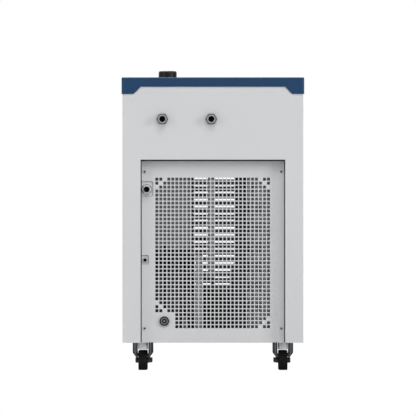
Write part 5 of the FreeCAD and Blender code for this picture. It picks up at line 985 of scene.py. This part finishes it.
class CHILLER_OT_plumbing(bpy.types.Operator):
    """Smooths and dresses hoses, refrigerant lines, tank, exchanger and pump, and lays black foam at the
    back of the tank's foot.
    """
    bl_idname = "chiller.plumbing"
    bl_label = "Hoses, lines and tank"

    def execute(self, context):
        for look, crease, names in (
                ("braided_hose", 60, ("supply_hose", "return_hose", "overflow_hose", "pump_hose")),
                ("seal_rubber", 60, ("drain_hose",)), ("line_enamel", 50, ("discharge_line",)),
                ("drawn_copper", 50, ("liquid_line", "suction_line", "filter_drier")),
                ("brushed_stainless", 35, ("water_tank", "heat_exchanger"))):
            for name in names:
                smoothed(look, name, crease=crease)
        smoothed("motor_enamel", "circulation_pump", "pump_smooth")
        low, high = box("water_tank")
        foam_bars = [bar("foam_bar", (x0, high.y + 0.2, low.z - 12), (x1, high.y + 3.2, low.z + 14.5), 1)
                for x0, x1 in ((52, 112), (130, 152))]
        finish(joined("tank_edge_foam", *foam_bars), "filter_foam")
        dress("galvanised_sheet", "tank_stand")
        return {"FINISHED"}


class CHILLER_OT_fan(bpy.types.Operator):
    """Dresses the fan, its motor, bracket and hood."""
    bl_idname = "chiller.fan"
    bl_label = "Fan"

    def execute(self, context):
        dress("galvanised_sheet", "fan_shroud", "fan_bracket")
        smoothed("motor_enamel", "fan_motor", "motor_smooth")
        smoothed("moulded_abs_black", "fan_blade", "fan_smooth", "fan")
        return {"FINISHED"}


class CHILLER_OT_controls(bpy.types.Operator):
    """Dresses the front controls and raises a plain mark on each key."""
    bl_idname = "chiller.controls"
    bl_label = "Controls"

    def execute(self, context):
        dress("smoked_acrylic", "display_window")
        dress("circuit_board", "control_board")
        dress("moulded_abs_black", "switch_housing")
        smoothed("moulded_abs_grey", "control_fascia", "fascia_smooth")
        smoothed("moulded_abs_grey", "power_rocker", "rocker_smooth", "rocker")
        for name, sides, turn in (("key_down", 3, math.pi), ("key_up", 3, 0), ("key_enter", 24, 0)):
            smoothed("key_silicone", name, body=name + "_cap")
            mark = turned(name + "_mark", (0, 0, 0), "-Y", [(4.2, -0.4), (4.2, 0), (3.9, 0.25)], sides,
                          corner_up=True)
            mark.data.transform(Matrix.Rotation(turn, 4, "Y"))
            finish(moved(mark, centre(name, box(name)[0].y)), "nylon_dark", body=name + "_cap",
                   slot="key_plastic")
        return {"FINISHED"}


class CHILLER_OT_stage(bpy.types.Operator):
    """Makes the camera, the pale floor, the soft lights and the even room light."""
    bl_idname = "chiller.stage"
    bl_label = "Stage"

    def execute(self, context):
        settings = context.scene.chiller_stage
        target = Vector((0, REAR_Y * MM, settings.aim))
        eye = Vector((0, REAR_Y * MM + settings.distance, settings.height))
        bpy.ops.object.camera_add(location=eye, rotation=(target - eye).to_track_quat("-Z", "Y").to_euler())
        camera = context.active_object
        camera.data.lens = settings.focal
        camera.data.sensor_width = 36
        camera.data.shift_x = settings.shift
        context.scene.camera = camera
        object_middle = Vector((0, 0, 0.4))
        for name, place, size, power in (("key_light", (-1.5, 10.0, 10.5), 8.0, settings.key),
                                         ("side_light", (-12.0, 9.0, 3.5), 5.0, settings.side),
                                         ("fill_light", (10.0, 9.0, 3.0), 5.0, settings.fill),
                                         ("front_light", (2.0, -7.0, 9.0), 5.0, settings.front)):
            aim = (object_middle - Vector(place)).to_track_quat("-Z", "Y").to_euler()
            bpy.ops.object.light_add(type="AREA", location=place, rotation=aim)
            lamp = context.active_object
            lamp.name = name
            lamp.data.energy = power
            lamp.data.size = size
        self.floor()
        self.room(context, settings.room, settings.dark_wall)
        context.scene.view_settings.view_transform = "Standard"
        return {"FINISHED"}

    def floor(self):
        """A plain pale floor that looks white to the camera and still takes a soft shadow."""
        floor = primitive(bpy.ops.mesh.primitive_plane_add, "floor", size=30)
        pale = bpy.data.materials.new("pale_floor")
        tree = bare_tree(pale)
        paint = node(tree, "BsdfPrincipled", {"Base Color": linear("#F2F2F2"), "Roughness": 0.9})
        glow = node(tree, "Emission", {"Color": (1, 1, 1, 1), "Strength": 1.08})
        seen = node(tree, "LightPath")["Is Camera Ray"]
        share = node(tree, "Math", {0: seen, 1: 0.86}, operation="MULTIPLY")[0]
        mixed = node(tree, "MixShader", {0: share, 1: paint[0], 2: glow[0]})[0]
        node(tree, "OutputMaterial", {"Surface": mixed})
        floor.data.materials.append(pale)

    def room(self, context, strength, dark_wall):
        """White to the camera, dimmer as a light on the object; metal sees a dark wall behind the camera."""
        context.scene.world = bpy.data.worlds.new("room")
        tree = bare_tree(context.scene.world)
        path = node(tree, "LightPath")
        direction = node(tree, "TexCoord")["Generated"]
        rearward = node(tree, "SeparateXYZ", {0: direction})[1]
        wall = node(tree, "MapRange", {"Value": rearward, "From Min": 0.35, "From Max": 0.95, "To Min": 1.0,
                                       "To Max": dark_wall}, interpolation_type="SMOOTHSTEP")[0]
        seen = node(tree, "Math", {0: path["Is Camera Ray"], 1: path["Is Transmission Ray"]},
                    operation="MAXIMUM")[0]
        level = node(tree, "Mix", {0: path["Is Glossy Ray"], 2: strength, 3: wall})[0]
        level = node(tree, "Mix", {0: seen, 2: level, 3: 1.0})[0]
        back = node(tree, "Background", {"Color": (1, 1, 1, 1), "Strength": level})[0]
        node(tree, "OutputWorld", {"Surface": back})


OPERATORS = (CHILLER_OT_materials, CHILLER_OT_stage, CHILLER_OT_case, CHILLER_OT_grille,
             CHILLER_OT_panel_screws, CHILLER_OT_ports, CHILLER_OT_inlet, CHILLER_OT_drain,
             CHILLER_OT_filler, CHILLER_OT_casters, CHILLER_OT_condenser, CHILLER_OT_compressor,
             CHILLER_OT_plumbing, CHILLER_OT_fan, CHILLER_OT_controls)
SETTINGS = {"chiller_case": CaseSettings, "chiller_grille": GrilleSettings, "chiller_ports": PortSettings,
            "chiller_casters": CasterSettings, "chiller_stage": StageSettings}


class CHILLER_PT_panel(bpy.types.Panel):
    """Sizes, colours and steps of the chiller."""
    bl_label = "Recirculating chiller"
    bl_space_type = "VIEW_3D"
    bl_region_type = "UI"
    bl_category = "Chiller"

    def draw(self, context):
        for name, group in SETTINGS.items():
            rows = self.layout.box()
            for prop in group.__annotations__:
                rows.prop(getattr(context.scene, name), prop)
        for operator in OPERATORS:
            self.layout.operator(operator.bl_idname)


def register():
    for name, group in SETTINGS.items():
        bpy.utils.register_class(group)
        setattr(bpy.types.Scene, name, PointerProperty(type=group))
    for operator in OPERATORS:
        bpy.utils.register_class(operator)
    bpy.utils.register_class(CHILLER_PT_panel)


def unregister():
    bpy.utils.unregister_class(CHILLER_PT_panel)
    for operator in reversed(OPERATORS):
        bpy.utils.unregister_class(operator)
    for name, group in SETTINGS.items():
        delattr(bpy.types.Scene, name)
        bpy.utils.unregister_class(group)


def main():
    register()
    for operator in OPERATORS:
        group, name = operator.bl_idname.split(".")
        getattr(getattr(bpy.ops, group), name)()


if __name__ == "__main__":
    main()
